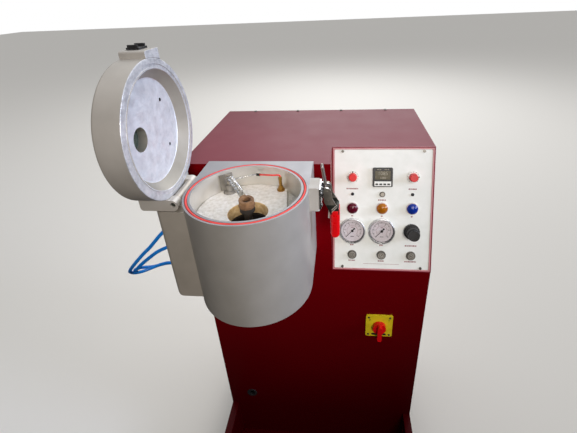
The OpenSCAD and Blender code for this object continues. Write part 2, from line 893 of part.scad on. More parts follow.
module frame_bevel() {
    cut = frame_h * 0.4;
    for (s = [-1, 1]) {
        translate([s * (console_w / 2), 0, 0]) rotate([90, 0, 0]) rotate([0, 0, 45])
            cube([cut, cut, 2 * slope_l], center = true);
        translate([0, s * (slope_l / 2), 0]) rotate([0, 90, 0]) rotate([0, 0, 45])
            cube([cut, cut, 2 * console_w], center = true);
    }
}

module console_panel() color(white) difference() {
    on_console(0, slope_l / 2) round_plate(panel_w, panel_l, 3, plate_t);
    panel_screw_places() screw_hole();
    for (s = [-1, 1]) {
        panel_hole(s * column_pitch, row_knobs, bushing_r + seat_gap);
        panel_hole(s * column_pitch, row_leds, led_r + seat_gap);
    }
    panel_hole(0, row_leds, small_body_r + seat_gap);
    for (i = [-1:1]) {
        panel_hole(i * column_pitch, row_lamps, lamp_body_r + seat_gap);
        panel_hole(i * column_pitch, row_buttons, button_body_r + seat_gap);
    }
    for (i = [-1, 0]) panel_hole(i * column_pitch, row_gauges, gauge_stem_r + seat_gap);
    panel_hole(column_pitch, row_gauges, reg_stem_r + seat_gap);
    on_console(0, row_knobs, -over)
        round_plate(controller_body + 1, controller_body + 1, 1, plate_t + 2 * over);
}

module panel_hole(u, v, r) {
    on_console(u, v, -over) cylinder(r = r, h = plate_t + 2 * over);
}

module temp_controller() color(black) on_console(0, row_knobs, plate_t) difference() {
    union() {
        round_plate(controller_side, controller_side, 3, controller_h);
        translate([0, 0, -controller_deep])
            round_plate(controller_body, controller_body, 1, controller_deep + weld);
        for (i = [0:3]) translate([(i - 1.5) * key_pitch, -controller_side * 0.36, controller_h - 1])
            round_plate(key_pitch * 0.7, 4, 1, 1.6);
    }
    translate([0, window_up, controller_h - window_deep])
        round_plate(window_w, window_h, 1, window_deep + over);
}

module controller_window() color("#2a2f24") on_console(0, row_knobs, plate_t)
    translate([0, window_up, controller_h - window_deep])
        round_plate(window_w - 2 * seat_gap, window_h - 2 * seat_gap, 1, window_deep - 0.5);

module lamp(u, tint) {
    color(tint) on_console(u, row_lamps, plate_t) rotate_extrude() {
        square([lens_foot_r, bezel_h + weld]);
        translate([0, bezel_h]) intersection() {
            translate([0, lens_h - lens_round()]) circle(lens_round(), $fn = 96);
            square([lens_r, lens_h]);
        }
    }
}

function lens_round() = (lens_r * lens_r + lens_h * lens_h) / (2 * lens_h);

module lamp_red() lamp(-column_pitch, "#6e0d16");
module lamp_amber() lamp(0, "#c5600f");
module lamp_blue() lamp(column_pitch, "#16409a");

// A threaded body behind the plate under a round head with a flat floor in it
module bezel(head_r, head_h, body_r, body_l, well_r, well) {
    rotate_extrude() difference() {
        union() {
            square([head_r, head_h - 0.8]);
            square([head_r - 0.8, head_h]);
            translate([0, -body_l]) square([body_r, body_l + weld]);
        }
        translate([-over, head_h - well]) square([well_r + over, well + over]);
    }
}

// A push button's body has a wider pocket under its mouth, which holds the button's collar
module button_bezel(head_r, head_h, body_r, face_r, travel) {
    difference() {
        bezel(head_r, head_h, body_r, button_deep, face_r + button_gap, head_h + plate_t);
        translate([0, 0, -plate_t - collar_t - travel - 2 * button_gap])
            cylinder(r = face_r + collar_w + button_gap, h = collar_t + travel + 2 * button_gap);
    }
}

module control_bezels() color(steel) {
    for (i = [-1:1]) {
        on_console(i * column_pitch, row_lamps, plate_t)
            bezel(lamp_bezel_r, bezel_h, lamp_body_r, lamp_deep, lens_foot_r + seat_gap, bezel_h + 1);
        on_console(i * column_pitch, row_buttons, plate_t)
            button_bezel(button_bezel_r, bezel_h, button_body_r, button_r, button_travel);
    }
    on_console(0, row_leds, plate_t)
        button_bezel(small_bezel_r, bezel_h - 1, small_body_r, small_button_r, small_travel);
    for (s = [-1, 1]) on_console(s * column_pitch, row_knobs, plate_t) difference() {
        union() {
            cylinder(r = bushing_nut_r, h = bushing_nut_h, $fn = 6);
            barrel(-knob_deep, bushing_r, knob_deep + weld);
            barrel(-knob_deep - 8, 9, 8 + weld);
        }
        barrel(-knob_deep - 6, spindle_r + run_gap, knob_deep + 20);
    }
}

module indicator_leds() color(black) {
    for (s = [-1, 1]) on_console(s * column_pitch, row_leds, plate_t) rotate_extrude() {
        translate([0, -8]) square([led_r, 8 + led_h - led_r * 0.4]);
        intersection() {
            translate([0, led_h - led_r * 1.1]) circle(led_r * 1.1);
            square([led_r, led_h]);
        }
    }
}

module push_button(u, v, face_r, head_h, travel) {
    on_console(u, v, plate_t) rotate_extrude() {
        translate([0, -plate_t - collar_t - button_gap])
            square([face_r, plate_t + collar_t + button_gap + head_h + travel]);
        translate([0, -plate_t - collar_t - button_gap]) square([face_r + collar_w, collar_t]);
        square([face_r - 0.6, head_h + travel + 0.4]);
    }
}

module push_button_left() color(steel)
    push_button(-column_pitch, row_buttons, button_r, bezel_h, button_travel - 1);
module push_button_middle() color(steel) push_button(0, row_buttons, button_r, bezel_h, button_travel - 1);
module push_button_right() color(steel)
    push_button(column_pitch, row_buttons, button_r, bezel_h, button_travel - 1);
module small_button() color(steel) push_button(0, row_leds, small_button_r, bezel_h - 1, small_travel - 1);

module dial_knob(u) {
    on_console(u, row_knobs, plate_t + knob_lift) difference() {
        union() {
            cylinder(r = knob_r + skirt_w, h = 2);
            translate([0, 0, 2 - weld]) cylinder(r1 = knob_r + 1.2, r2 = knob_r, h = 4 + weld);
            barrel(6 - weld, knob_r, knob_h - 7 + weld);
            translate([0, 0, knob_h - 1 - weld]) cylinder(r1 = knob_r, r2 = knob_r - 1, h = 1 + weld);
            barrel(-knob_lift - knob_deep, spindle_r, knob_deep + knob_h);
        }
        translate([0, 0, -over]) difference() {
            cylinder(r = bushing_nut_r + 0.8, h = bushing_nut_h + over);
            cylinder(r = spindle_r, h = bushing_nut_h + 2 * over);
        }
        translate([0, knob_r, knob_h]) cube([1.6, knob_r, 1.6], center = true);
    }
}

module knob_left() color(red) dial_knob(-column_pitch);
module knob_right() color(red) dial_knob(column_pitch);

module gauge_case(u) {
    on_console(u, row_gauges, plate_t) rotate_extrude() difference() {
        union() {
            square([gauge_r, gauge_h - 1.5]);
            square([gauge_r - 1.5, gauge_h]);
            translate([0, -gauge_deep]) square([gauge_stem_r, gauge_deep + weld]);
            translate([0, -gauge_deep - 14]) square([gauge_port_r, 14 + weld]);
        }
        translate([-over, gauge_floor]) square([gauge_r - gauge_rim + over, gauge_h]);
        translate([-over, gauge_h - lens_seat]) square([gauge_r - gauge_rim + lens_ledge + over, gauge_h]);
        translate([-over, -gauge_deep - 14 - over]) square([gauge_bore_r + over, 14]);
    }
}

module gauge_cases() color(steel) for (i = [-1, 0]) gauge_case(i * column_pitch);

module gauge_dials() color(white) for (i = [-1, 0])
    on_console(i * column_pitch, row_gauges, plate_t + gauge_floor) {
    cylinder(r = gauge_r - gauge_rim - seat_gap, h = dial_t);
    cylinder(r = needle_pin_r, h = dial_t + needle_hub_h + 1);
}

module gauge_lenses() color("#dfe6ea", 0.4) for (i = [-1, 0])
    on_console(i * column_pitch, row_gauges, plate_t + gauge_h - lens_seat)
        cylinder(r = gauge_r - gauge_rim + lens_ledge - seat_gap, h = glass_cover_t);

module needle(u) {
    on_console(u, row_gauges, plate_t + gauge_floor + dial_t + needle_lift) rotate([0, 0, needle_rest])
        difference() {
        union() {
            cylinder(r = needle_hub_r, h = needle_hub_h);
            linear_extrude(needle_t) polygon([[-needle_w, -needle_tail], [needle_w, -needle_tail],
                [needle_w / 2, 0], [0.2, needle_l], [-0.2, needle_l], [-needle_w / 2, 0]]);
        }
        barrel(-over, needle_pin_r + run_gap, needle_hub_h + 2 * over);
    }
}

module needle_left() color(black) needle(-column_pitch);
module needle_right() color(black) needle(0);

module ribbed(r, h, count, rib) {
    difference() {
        cylinder(r = r, h = h);
        for (i = [0:count - 1]) rotate([0, 0, 360 * i / count]) translate([r + rib * 0.4, 0, -over])
            cylinder(r = rib, h = h + 2 * over, $fn = 24);
    }
}

module regulator_bonnet() color(black) on_console(column_pitch, row_gauges, plate_t) {
    ribbed(bonnet_r, bonnet_h, 20, 1.1);
    barrel(-reg_deep, reg_stem_r, reg_deep + weld);
    barrel(bonnet_h - weld, reg_spindle_r, reg_spindle_h + weld);
}

module regulator_knob() color(black) on_console(column_pitch, row_gauges, plate_t + bonnet_h + 0.5)
    difference() {
    union() {
        cylinder(r = reg_knob_r, h = reg_knob_h * 0.25);
        translate([0, 0, reg_knob_h * 0.25 - weld]) ribbed(reg_knob_r - 1, reg_knob_h * 0.45 + weld, 18, 1.2);
        translate([0, 0, reg_knob_h * 0.7 - weld])
            cylinder(r1 = reg_knob_r - 1, r2 = reg_knob_end_r, h = reg_knob_h * 0.12 + weld);
        barrel(reg_knob_h * 0.82 - weld, reg_knob_end_r, reg_knob_h * 0.18 + weld);
    }
    barrel(-over, reg_spindle_r + run_gap, reg_spindle_h + over + 0.5);
    barrel(reg_knob_h - 1, reg_knob_end_r - 3, 1 + over);
}

module switch_plate() color("#d8c321") on_front(switch_x, switch_z) difference() {
    union() {
        round_plate(switch_w, switch_h, 5, switch_t);
        barrel(switch_t - weld, switch_knob_r - 4, switch_collar_h + weld);
        translate([0, 0, -switch_deep]) round_plate(switch_body, switch_body, 2, switch_deep + weld);
    }
    barrel(-switch_deep / 2, switch_shaft_r + run_gap, switch_deep);
    for (sx = [-1, 1], sz = [-1, 1]) translate([sx * (switch_w / 2 - 8), sz * (switch_h / 2 - 8), switch_t])
        screw_hole();
}

module switch_knob() color(red) on_front(switch_x, switch_z) difference() {
    translate([0, 0, switch_t]) {
        translate([0, 0, seat_gap]) tube(switch_knob_r, switch_knob_r - 4 + 2 * seat_gap, switch_skirt_h);
        barrel(switch_collar_h + seat_gap, switch_knob_r, switch_skirt_h - switch_collar_h);
        translate([0, 0, switch_skirt_h - weld]) linear_extrude(switch_handle_h + weld) {
            translate([-switch_handle_w / 2, switch_handle_w / 2 - switch_handle_l])
                square([switch_handle_w, switch_handle_l + switch_knob_r - switch_handle_w]);
            translate([0, switch_handle_w / 2 - switch_handle_l]) circle(switch_handle_w / 2);
            translate([0, switch_knob_r - switch_handle_w / 2]) circle(switch_handle_w / 2);
        }
        barrel(-switch_t - switch_shaft_l, switch_shaft_r, switch_shaft_l + switch_t + switch_skirt_h);
    }
    translate([0, 4 - switch_handle_l, switch_t + switch_skirt_h + switch_handle_h - 1])
        cylinder(r = 2, h = 2);
}

// Chamber and furnace

module chamber_form(inset) {
    translate([chamber_x, chamber_y]) circle(chamber_r - inset, $fn = 128);
    translate([chamber_x - chamber_r + inset, chamber_y]) square([2 * (chamber_r - inset), chamber_out]);
}

module chamber_body() color(aluminium) difference() {
    translate([0, 0, chamber_base]) linear_extrude(chamber_h) chamber_form(0);
    on_bore(0) {
        translate([0, 0, board_base]) cylinder(r = bore_r, h = chamber_h, $fn = 128);
        translate([0, 0, chamber_inside]) cylinder(r = bore_r - ledge_w, h = chamber_h, $fn = 128);
        translate([0, 0, chamber_top - groove_deep])
            rotate_extrude($fn = 128) translate([ring_r - ring_section_r, 0])
                square([2 * ring_section_r, groove_deep + over]);
    }
    on_melt(chamber_base - over) cylinder(r = outlet_r, h = chamber_floor + 2 * over);
    for (s = [-1, 1]) translate([chamber_x + s * coil_r, chamber_y, lead_z(s)]) rotate([-90, 0, 0])
        cylinder(r = lead_hole_r, h = chamber_out + over);
}

module chamber_gasket() color(red) on_bore(chamber_top - groove_deep)
    rotate_extrude($fn = 128) translate([ring_r, 0]) {
        wide = ring_section_r - 0.2;
        translate([-wide, 0]) square([2 * wide, groove_deep + ring_proud - wide]);
        translate([0, groove_deep + ring_proud - wide]) circle(wide, $fn = 32);
    }

module seam_side(gap) {
    on_bore(0) rotate([0, 0, seam_turn]) translate([seam_x + gap, -bore_r * 2, board_base - over])
        cube([bore_r * 2, bore_r * 4, board_t + 2 * over]);
}

module insulation_board() color("#e4e0d6") {
    difference() {
        on_bore(board_base) cylinder(r = bore_r - board_gap, h = board_t, $fn = 128);
        seam_side(-board_gap / 2);
        on_melt(board_base - over) cylinder(r = mouth_r, h = board_t + 2 * over);
        on_shaft(board_base - over) cylinder(r = guide_r + seat_gap, h = board_t + 2 * over);
        translate([gland_x, gland_y, board_base - over])
            cylinder(r = gland_stem_r + seat_gap, h = board_t + 2 * over);
    }
    intersection() {
        on_bore(board_base) cylinder(r = bore_r - board_gap, h = segment_t, $fn = 128);
        seam_side(board_gap / 2);
    }
}

module crucible() color("#3a3532") on_melt(crucible_base) rotate_extrude() difference() {
    square([crucible_r, crucible_top - crucible_base]);
    translate([-over, crucible_floor]) square([crucible_r - crucible_wall + over, crucible_top]);
    translate([-over, -over]) square([drain_r + over, crucible_floor + 2 * over]);
    polygon([[0, crucible_floor - seat_cone], [drain_r, crucible_floor - seat_cone],
        [drain_r + seat_cone, crucible_floor + 0.01], [0, crucible_floor + 0.01]]);
}

module crucible_sleeve() color("#d8d2c4") on_melt(sleeve_base) rotate_extrude() difference() {
    square([sleeve_r, crucible_top - sleeve_base]);
    translate([-over, sleeve_floor]) square([crucible_r + seat_gap + over, crucible_top]);
    translate([-over, -over]) square([drain_r + 2 + over, sleeve_floor + 2 * over]);
}

// The coil's tube comes in from the back, winds clockwise and upwards, and leaves to the back
function lead_z(s) = coil_base + (s > 0 ? 0 : coil_pitch * (coil_turns + 0.5));
function coil_points() = concat(
    [for (y = [coil_tail_y, (coil_tail_y + melt_y) / 2, melt_y + 2 * coil_tube_r]) [chamber_x + coil_r, y,
        coil_base]],
    [for (i = [0:coil_turns * 24 + 12]) let(a = -360 * i / 24)
        [chamber_x + coil_r * cos(a), melt_y + coil_r * sin(a), coil_base + coil_pitch * i / 24]],
    [for (y = [melt_y + 2 * coil_tube_r, (coil_tail_y + melt_y) / 2, coil_tail_y]) [chamber_x - coil_r, y,
        lead_z(-1)]]
);

module induction_coil() color("#b0683a") {
    sweep(coil_points(), coil_tube_r, 6, [0, 0, 1]);
    echo(least_gap_of_coil = least_gap(coil_points(), 12) - 2 * coil_tube_r);
}

module outlet_flange() color(dark_steel) difference() {
    on_melt(chamber_base) union() {
        barrel(-outlet_h, outlet_flange_r, outlet_h);
        translate([0, 0, -outlet_h - nozzle_h])
            cylinder(r1 = outlet_r + 4, r2 = outlet_r + 7, h = nozzle_h + weld);
    }
    on_melt(0) cylinder(r = outlet_r, h = chamber_top);
    for (i = [0:3]) on_melt(chamber_base - outlet_h - over) rotate([0, 0, 45 + 90 * i])
        translate([outlet_flange_r - 7, 0, 0]) cylinder(r = 4.5, h = 5 + over);
}

module lift_guide() color(dark_steel) {
    difference() {
        union() {
            on_shaft(board_base + over) cylinder(r = guide_r, h = guide_top - board_base - over);
            on_shaft(board_top) cylinder(r = guide_r + 4, h = 4);
            on_shaft(board_top + guide_t) rotate([0, 0, guide_turn]) {
                translate([guide_r - 2, -guide_web / 2, 0]) cube([guide_end - guide_r + 1, guide_web, 10]);
                translate([guide_end - guide_t, -guide_wide / 2, 0])
                    cube([guide_t, guide_wide, guide_wing_h]);
            }
        }
        on_shaft(board_base) cylinder(r = shaft_r + run_gap, h = chamber_top);
    }
}

module brass_gland() color(brass) translate([gland_x, gland_y, 0]) difference() {
    union() {
        barrel(board_base + over, gland_stem_r, board_t);
        barrel(board_top, gland_r + 1.5, 3);
        translate([0, 0, board_top + 3 - weld]) cylinder(r = gland_r, h = 8 + weld, $fn = 6);
        barrel(board_top + 11 - weld, gland_stem_r, gland_h - 18 + weld);
        translate([0, 0, board_top + gland_h - 7 - weld]) cylinder(r = gland_r - 1, h = 6 + weld, $fn = 6);
        translate([0, 0, board_top + gland_h - 1 - weld])
            cylinder(r1 = gland_r - 2, r2 = lead_sleeve_r + 1, h = 1 + weld);
    }
    barrel(board_top + gland_h - 4, lead_sleeve_r, 5);
    barrel(board_base, lead_wire_r + 0.5, board_t + gland_h + over);
}

// The lead runs in a red sleeve from the gland to its clip, and bare from there to the lift
module thermocouple_lead() color(red) {
    clip_from = 7;
    clip_to = 8;
    radii = [for (i = [0:len(lead_points) - 1])
        i < clip_from ? lead_sleeve_r : i <= clip_to ? lead_sleeve_r + 1.5 : lead_wire_r];
    sweep(lead_points, radii, 8, [0, 0.3, 1]);
}

// Stopper rod and its lift

module lift_arm() color(steel) difference() {
    union() {
        on_shaft(shaft_foot) cylinder(r = shaft_r, h = arm_base + arm_t - shaft_foot + 1);
        on_shaft(shaft_foot - 4) cylinder(r = shaft_r + 3, h = 4 + weld);
        on_shaft(arm_base) cylinder(r = shaft_r + 4, h = arm_t);
        on_shaft(arm_base + arm_t - weld) cylinder(r = shaft_r + 3, h = 4 + weld, $fn = 6);
        on_shaft(arm_base) rotate([0, 0, arm_turn]) translate([0, -arm_w / 2, 0]) cube([arm_l, arm_w, arm_t]);
        on_melt(arm_base) cylinder(r = holder_r, h = arm_t);
    }
    on_melt(arm_base - over) cylinder(r = holder_cup_r, h = arm_t + 2 * over);
}

module rod_holder() color("#7c5a3a") on_melt(holder_base) rotate_extrude() difference() {
    union() {
        translate([0, 2]) square([holder_r, holder_h - 2]);
        square([holder_r - 2, holder_h]);
        translate([0, holder_h * 0.55]) square([holder_r + 1.5, 4]);
    }
    translate([-over, -over]) square([rod_r + over, rod_in + over]);
    translate([-over, holder_h - 7]) square([holder_cup_r + over, 8]);
}

module stopper_rod() color("#3b3a3a") {
    tip = crucible_base + crucible_floor - seat_cone + 1;
    tip_h = rod_r - drain_r - tip_gap;
    on_melt(tip) {
        cylinder(r1 = drain_r + tip_gap, r2 = rod_r, h = tip_h);
        barrel(tip_h, rod_r, holder_base + rod_in - tip - tip_h);
    }
}

// Hinge and lid

module hinge_post() color(painted) difference() {
    union() {
        difference() {
            translate([hinge_x - post_wide, post_front, chamber_base])
                linear_extrude(hinge_z - post_down - chamber_base) {
                translate([post_round, 0]) square([post_reach - post_round, post_l]);
                translate([0, post_round]) square([post_reach, post_l - 2 * post_round]);
                for (y = [post_round, post_l - post_round]) translate([post_round, y]) circle(post_round);
            }
            translate([0, 0, chamber_base - over]) linear_extrude(chamber_h) chamber_form(0);
            translate([hinge_x - post_wide, post_front - over, chamber_base]) rotate([-90, 0, 0])
                linear_extrude(post_l + 2 * over)
                difference() {
                    translate([-over, -post_foot]) square([post_foot + over, post_foot + over]);
                    translate([post_foot, -post_foot]) circle(post_foot);
                }
        }
        along_y(knuckle_r, knuckle_front, knuckle_front + knuckle_l, hinge_x, hinge_z);
        box([hinge_x - knuckle_r, knuckle_front, hinge_z - post_down - weld],
            [hinge_x + knuckle_r, knuckle_front + knuckle_l, hinge_z]);
    }
    along_y(pin_r + run_gap, post_front, arm_rear + over, hinge_x, hinge_z);
    for (z = fitting_z) translate([hinge_x - post_wide - over, fitting_y, z]) rotate([0, 90, 0])
        cylinder(r = fitting_stem_r, h = fitting_in + over);
}

module hinge_pin() color(dark_steel)
    along_y(pin_r, arm_front + pin_sink, arm_rear - pin_sink, hinge_x, hinge_z);

module lid_arm_profile() {
    translate([eye_x, eye_z]) circle(eye_r);
    translate([eye_x - eye_r, eye_z]) square([2 * eye_r, arm_long - eye_off - arm_corner]);
    translate([eye_x - eye_r + arm_corner, eye_z]) square([2 * eye_r - arm_corner, arm_long - eye_off]);
    translate([eye_x - eye_r + arm_corner, hinge_z + arm_long - arm_corner]) circle(arm_corner);
    translate([hinge_x, lid_face + 1]) square([lid_r / 2, lid_t - 10]);
}

module lid_arms() color(painted) opened() difference() {
    for (y = [arm_front, arm_front + arm_wide + arm_gap])
        translate([0, y + arm_wide, 0]) rotate([90, 0, 0]) linear_extrude(arm_wide) lid_arm_profile();
    on_bore(lid_face - over) cylinder(r = lid_r, h = lid_t + arm_long, $fn = 128);
    along_y(pin_r, arm_front - over, arm_rear + over, hinge_x, hinge_z);
}

module lid_shell() color(painted) opened() difference() {
    on_bore(lid_face) rotate_extrude($fn = 128) difference() {
        union() {
            translate([0, 1]) square([lid_r, lid_t - 1 - lid_round]);
            square([lid_r - 1, lid_t - lid_round]);
            square([lid_r - lid_round, lid_t]);
            translate([lid_r - lid_round, lid_t - lid_round]) circle(lid_round, $fn = 48);
        }
        polygon([[-over, -over], [recess_r + over * (recess_r - recess_floor_r) / recess_d, -over],
            [recess_floor_r, recess_d], [-over, recess_d]]);
        translate([recess_r + track_in, -over]) square([track_w, track_deep + over]);
    }
    translate([chamber_x, chamber_y - sight_out, lid_face]) {
        cylinder(r = sight_r, h = lid_t + over);
        barrel(lid_t - glass_sink, glass_r + seat_gap, glass_sink + over);
    }
    for (s = [-1, 1]) translate([chamber_x + s * port_x, chamber_y + port_y, lid_face])
        cylinder(r = 3.5, h = recess_d + 12);
}

module sight_glass() color("#9fb0a4", 0.5) opened()
    translate([chamber_x, chamber_y - sight_out, lid_face + lid_t - glass_sink])
    cylinder(r = glass_r, h = glass_t);

module sight_ring() color(dark_steel) opened()
    translate([chamber_x, chamber_y - sight_out, lid_face + lid_t]) {
    difference() {
        union() {
            cylinder(r = glass_r + 10, h = ring_h);
            barrel(glass_t - glass_sink, glass_r, glass_sink - glass_t + weld);
            for (i = [0:5]) rotate([0, 0, 60 * i]) translate([glass_r + 5, 0, ring_h - weld])
                cylinder(r = 3.5, h = 3 + weld, $fn = 6);
        }
        barrel(-glass_sink, sight_r, glass_sink + ring_h + over);
    }
}

module lid_lug() color(painted) opened() difference() {
    translate([chamber_x, lug_y, lid_face]) linear_extrude(lug_h) {
        translate([0, -lug_w / 2]) square([lug_end - chamber_x - lug_round, lug_w]);
        translate([0, lug_round - lug_w / 2]) square([lug_end - chamber_x, lug_w - 2 * lug_round]);
        for (s = [-1, 1]) translate([lug_end - chamber_x - lug_round, s * (lug_w / 2 - lug_round)])
            circle(lug_round);
    }
    on_bore(lid_face - over) cylinder(r = lid_r, h = lid_t + 2 * over, $fn = 128);
    catch_screw_places() barrel(-catch_screw_l, 2, catch_screw_l + over);
}

module catch_screw_places() {
    for (s = [-1, 1]) translate([lug_end, latch_y, catch_z + catch_h / 2 + s * catch_h / 4])
        rotate([0, 90, 0]) children();
}

module catch_plate() color(black) opened() {
    difference() {
        union() {
            translate([lug_end, latch_y, catch_z + catch_h / 2]) rotate([0, 90, 0])
                round_plate(catch_h, catch_w, 3, catch_t);
            for (y = [-catch_w / 2, catch_w / 2 - catch_ear_t])
                box([lug_end, latch_y + y, catch_z + 4],
                    [lug_end + catch_t + catch_ear, latch_y + y + catch_ear_t, catch_z + 4 + catch_ear_h]);
        }
        catch_screw_places() barrel(-over, 2.2, catch_t + 2 * over);
        catch_screw_places() translate([0, 0, catch_t - 2]) cylinder(r1 = 2.2, r2 = 4.4, h = 2.2);
    }
    catch_screw_places() {
        barrel(-catch_screw_l + 1, 2, catch_screw_l + catch_t - 2);
        translate([0, 0, catch_t - 1.9]) cylinder(r1 = 2, r2 = 3.8, h = 1.8);
    }
}

// Toggle latch

module clamp_pad() color(aluminium) difference() {
    box([side_x, latch_y - pad_w / 2, chamber_top - pad_h], [pad_face, latch_y + pad_w / 2, chamber_top]);
    for (s = [-1, 1]) translate([pad_face, latch_y + s * pad_w / 2, chamber_top - pad_h - over])
        rotate([0, 0, 45])
        cube([4, 4, 2 * (pad_h + 2 * over)], center = true);
    latch_bolt_places() barrel(-12, 2.6, 12 + over);
}

module latch_bolt_places() {
    for (sy = [-1, 1], z = [pivot_z - 2, pivot_z - 28])
        translate([pad_face, latch_y + sy * latch_bolt_y, z]) rotate([0, 90, 0]) children();
}

module xz_plate(y_low, t) {
    translate([0, y_low + t, 0]) rotate([90, 0, 0]) linear_extrude(t) children();
}

// Both sides of the latch: plates from inner to inner + t on either side of its middle
module pair(inner, t) {
    for (y = [latch_y - inner - t, latch_y + inner]) xz_plate(y, t) children();
}

module latch_base() color(dark_steel) {
    difference() {
        union() {
            box([pad_face, latch_y - base_w / 2, pivot_z - 35],
                [pad_face + base_t, latch_y + base_w / 2, pivot_z + 10]);
            pair(cheek_in, cheek_t) {
                translate([pivot_x, pivot_z]) circle(7);
                polygon([[pad_face + 1, pivot_z - 14], [pivot_x, pivot_z - 7], [pivot_x, pivot_z + 7],
                    [pad_face + 1, pivot_z + 10]]);
            }
        }
        along_y(latch_pin_r + run_gap, latch_y - base_w, latch_y + base_w, pivot_x, pivot_z);
        latch_bolt_places() barrel(-over, 2.8, base_t + 2 * over);
    }
    latch_bolt_places() {
        barrel(-10, 2.5, 11 + base_t);
        translate([0, 0, base_t]) cylinder(r = 4, h = 2.6, $fn = 6);
    }
}

module latch_lever() color(dark_steel) {
    ear_out = ear_in + ear_t;
    pair(ear_in, ear_t) {
        translate([pivot_x, pivot_z]) circle(8);
        translate([hook_pin_x, hook_pin_z]) circle(7);
        polygon([
            [pivot_x - 7, pivot_z - 4], [pivot_x + 8, pivot_z], [hook_pin_x + 10, hook_pin_z + 4],
                [grip_x + 8, grip_top + 12],
            [grip_x + 8, grip_top], [grip_x - 8, grip_top], [hook_pin_x - 6, hook_pin_z - 4]
        ]);
    }
    xz_plate(latch_y - ear_out, 2 * ear_out)
        polygon([[grip_x - 8, grip_top], [grip_x + 8, grip_top], [grip_x + 8, grip_top + 12],
            [grip_x + 3, grip_top + 16], [grip_x - 6, grip_top + 10]]);
    xz_plate(latch_y - tang_w / 2, tang_w)
        polygon([[grip_x - 4, grip_top + 1], [grip_x + 4, grip_top + 1], [grip_x + 4, grip_top - tang_l],
            [grip_x - 4, grip_top - tang_l]]);
    xz_plate(latch_y - 4, 8)
        polygon([
            [grip_x - 6, grip_top + 10], [grip_x - 6, grip_top + 3], [strip_x, grip_top + 2],
                [strip_x - 1, grip_top - 17],
            [strip_x - 4, grip_top - 16], [strip_x - 3, grip_top + 6]
        ]);
    for (s = [-1, 1]) along_y(latch_pin_r, latch_y + (s < 0 ? -ear_out - 1 : cheek_in),
        latch_y + (s < 0 ? -cheek_in : ear_out + 1), pivot_x, pivot_z);
    along_y(latch_pin_r, latch_y - ear_out - 1, latch_y + ear_out + 1, hook_pin_x, hook_pin_z);
}

module latch_grip() color(red) difference() {
    intersection() {
        xz_plate(latch_y - grip_deep / 2, grip_deep) {
            translate([grip_x - grip_w / 2, grip_top - grip_l + grip_w / 2])
                square([grip_w, grip_l - grip_w / 2]);
            translate([grip_x, grip_top - grip_l + grip_w / 2]) circle(grip_w / 2);
        }
        translate([grip_x, latch_y, grip_top - grip_l]) round_plate(grip_w, grip_deep, grip_w * 0.35, grip_l);
    }
    box([grip_x - 4.1, latch_y - tang_w / 2 - 0.1, grip_top - tang_l - 0.1],
        [grip_x + 4.1, latch_y + tang_w / 2 + 0.1, grip_top + over]);
}

module latch_hook() color("#c9ccd0") translate([hook_pin_x, latch_y, hook_pin_z]) rotate([0, -hook_lean, 0]) {
    bend = hook_h - hook_in - hook_wire_r;
    difference() {
        for (s = [-1, 1]) translate([0, s * hook_in, 0]) {
            cylinder(r = hook_wire_r, h = bend);
            rotate([90, 0, 0]) cylinder(r = hook_eye_r, h = 2 * hook_wire_r + 0.8, center = true);
        }
        rotate([90, 0, 0]) cylinder(r = latch_pin_r + run_gap, h = 4 * hook_in, center = true);
    }
    translate([0, 0, bend]) rotate([90, 0, 90]) rotate_extrude(angle = 180) translate([hook_in, 0])
        circle(hook_wire_r, $fn = 32);
}

// Air tubes

module hose_fittings() color(brass) for (z = fitting_z)
    translate([hinge_x - post_wide, fitting_y, z]) rotate([0, -90, 0]) difference() {
        union() {
            barrel(-fitting_in, fitting_stem_r, fitting_in + weld);
            cylinder(r = fitting_r, h = fitting_l * 0.45, $fn = 6);
            barrel(fitting_l * 0.45 - weld, fitting_r - 0.8, fitting_l * 0.4 + weld);
            barrel(fitting_l * 0.85 - weld, tube_d / 2 + 1.6, fitting_l * 0.15 + weld);
        }
        barrel(4, tube_d / 2 + seat_gap, fitting_l);
        barrel(-fitting_in - over, 2.5, fitting_in + 6);
    }

module hose_upper() color("#1268c8") sweep(upper_route, tube_d / 2, 10, [0.2, 0.3, 1]);
module hose_lower() color("#1268c8") sweep(lower_route, tube_d / 2, 10, [0.2, 0.3, 1]);

// Granulation power inside the cabinet

module induction_generator() color("#9aa0a6") {
    box([-gen_w / 2, gen_front, deck_z], [gen_w / 2, gen_front + gen_d, deck_z + gen_h]);
    post_y = gen_front + gen_post_in;
    head_z = coil_base - head_edge;
    box([chamber_x - gen_post / 2, post_y, deck_z + gen_h - weld],
        [chamber_x + gen_post / 2, post_y + gen_post_d, head_z]);
    half = coil_r + head_side;
    box([chamber_x - half, coil_tail_y, head_z - weld],
        [chamber_x + half, coil_tail_y + head_d, lead_z(-1) + head_edge]);
}

base_frame();
cabinet_shell();
rear_cover();
fasteners();
rear_connections();
grommets();
console_frame();
console_panel();
temp_controller();
controller_window();
lamp_red();
lamp_amber();
lamp_blue();
control_bezels();
indicator_leds();
gauge_cases();
gauge_dials();
gauge_lenses();
needle_left();
needle_right();
regulator_bonnet();
regulator_knob();
knob_left();
knob_right();
push_button_left();
push_button_middle();
push_button_right();
small_button();
switch_plate();
switch_knob();
chamber_body();
chamber_gasket();
insulation_board();
crucible();
crucible_sleeve();
induction_coil();
outlet_flange();
lift_guide();
brass_gland();
thermocouple_lead();
lift_arm();
rod_holder();
stopper_rod();
hinge_post();
hinge_pin();
lid_shell();
lid_arms();
lid_lug();
catch_plate();
sight_ring();
sight_glass();
clamp_pad();
latch_base();
latch_lever();
latch_grip();
latch_hook();
hose_fittings();
hose_upper();
hose_lower();
induction_generator();
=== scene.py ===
# Metal granulation machine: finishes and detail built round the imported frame. Metres, +Z up.
import json
import math

import bmesh
import bpy
from mathutils import Matrix, Vector


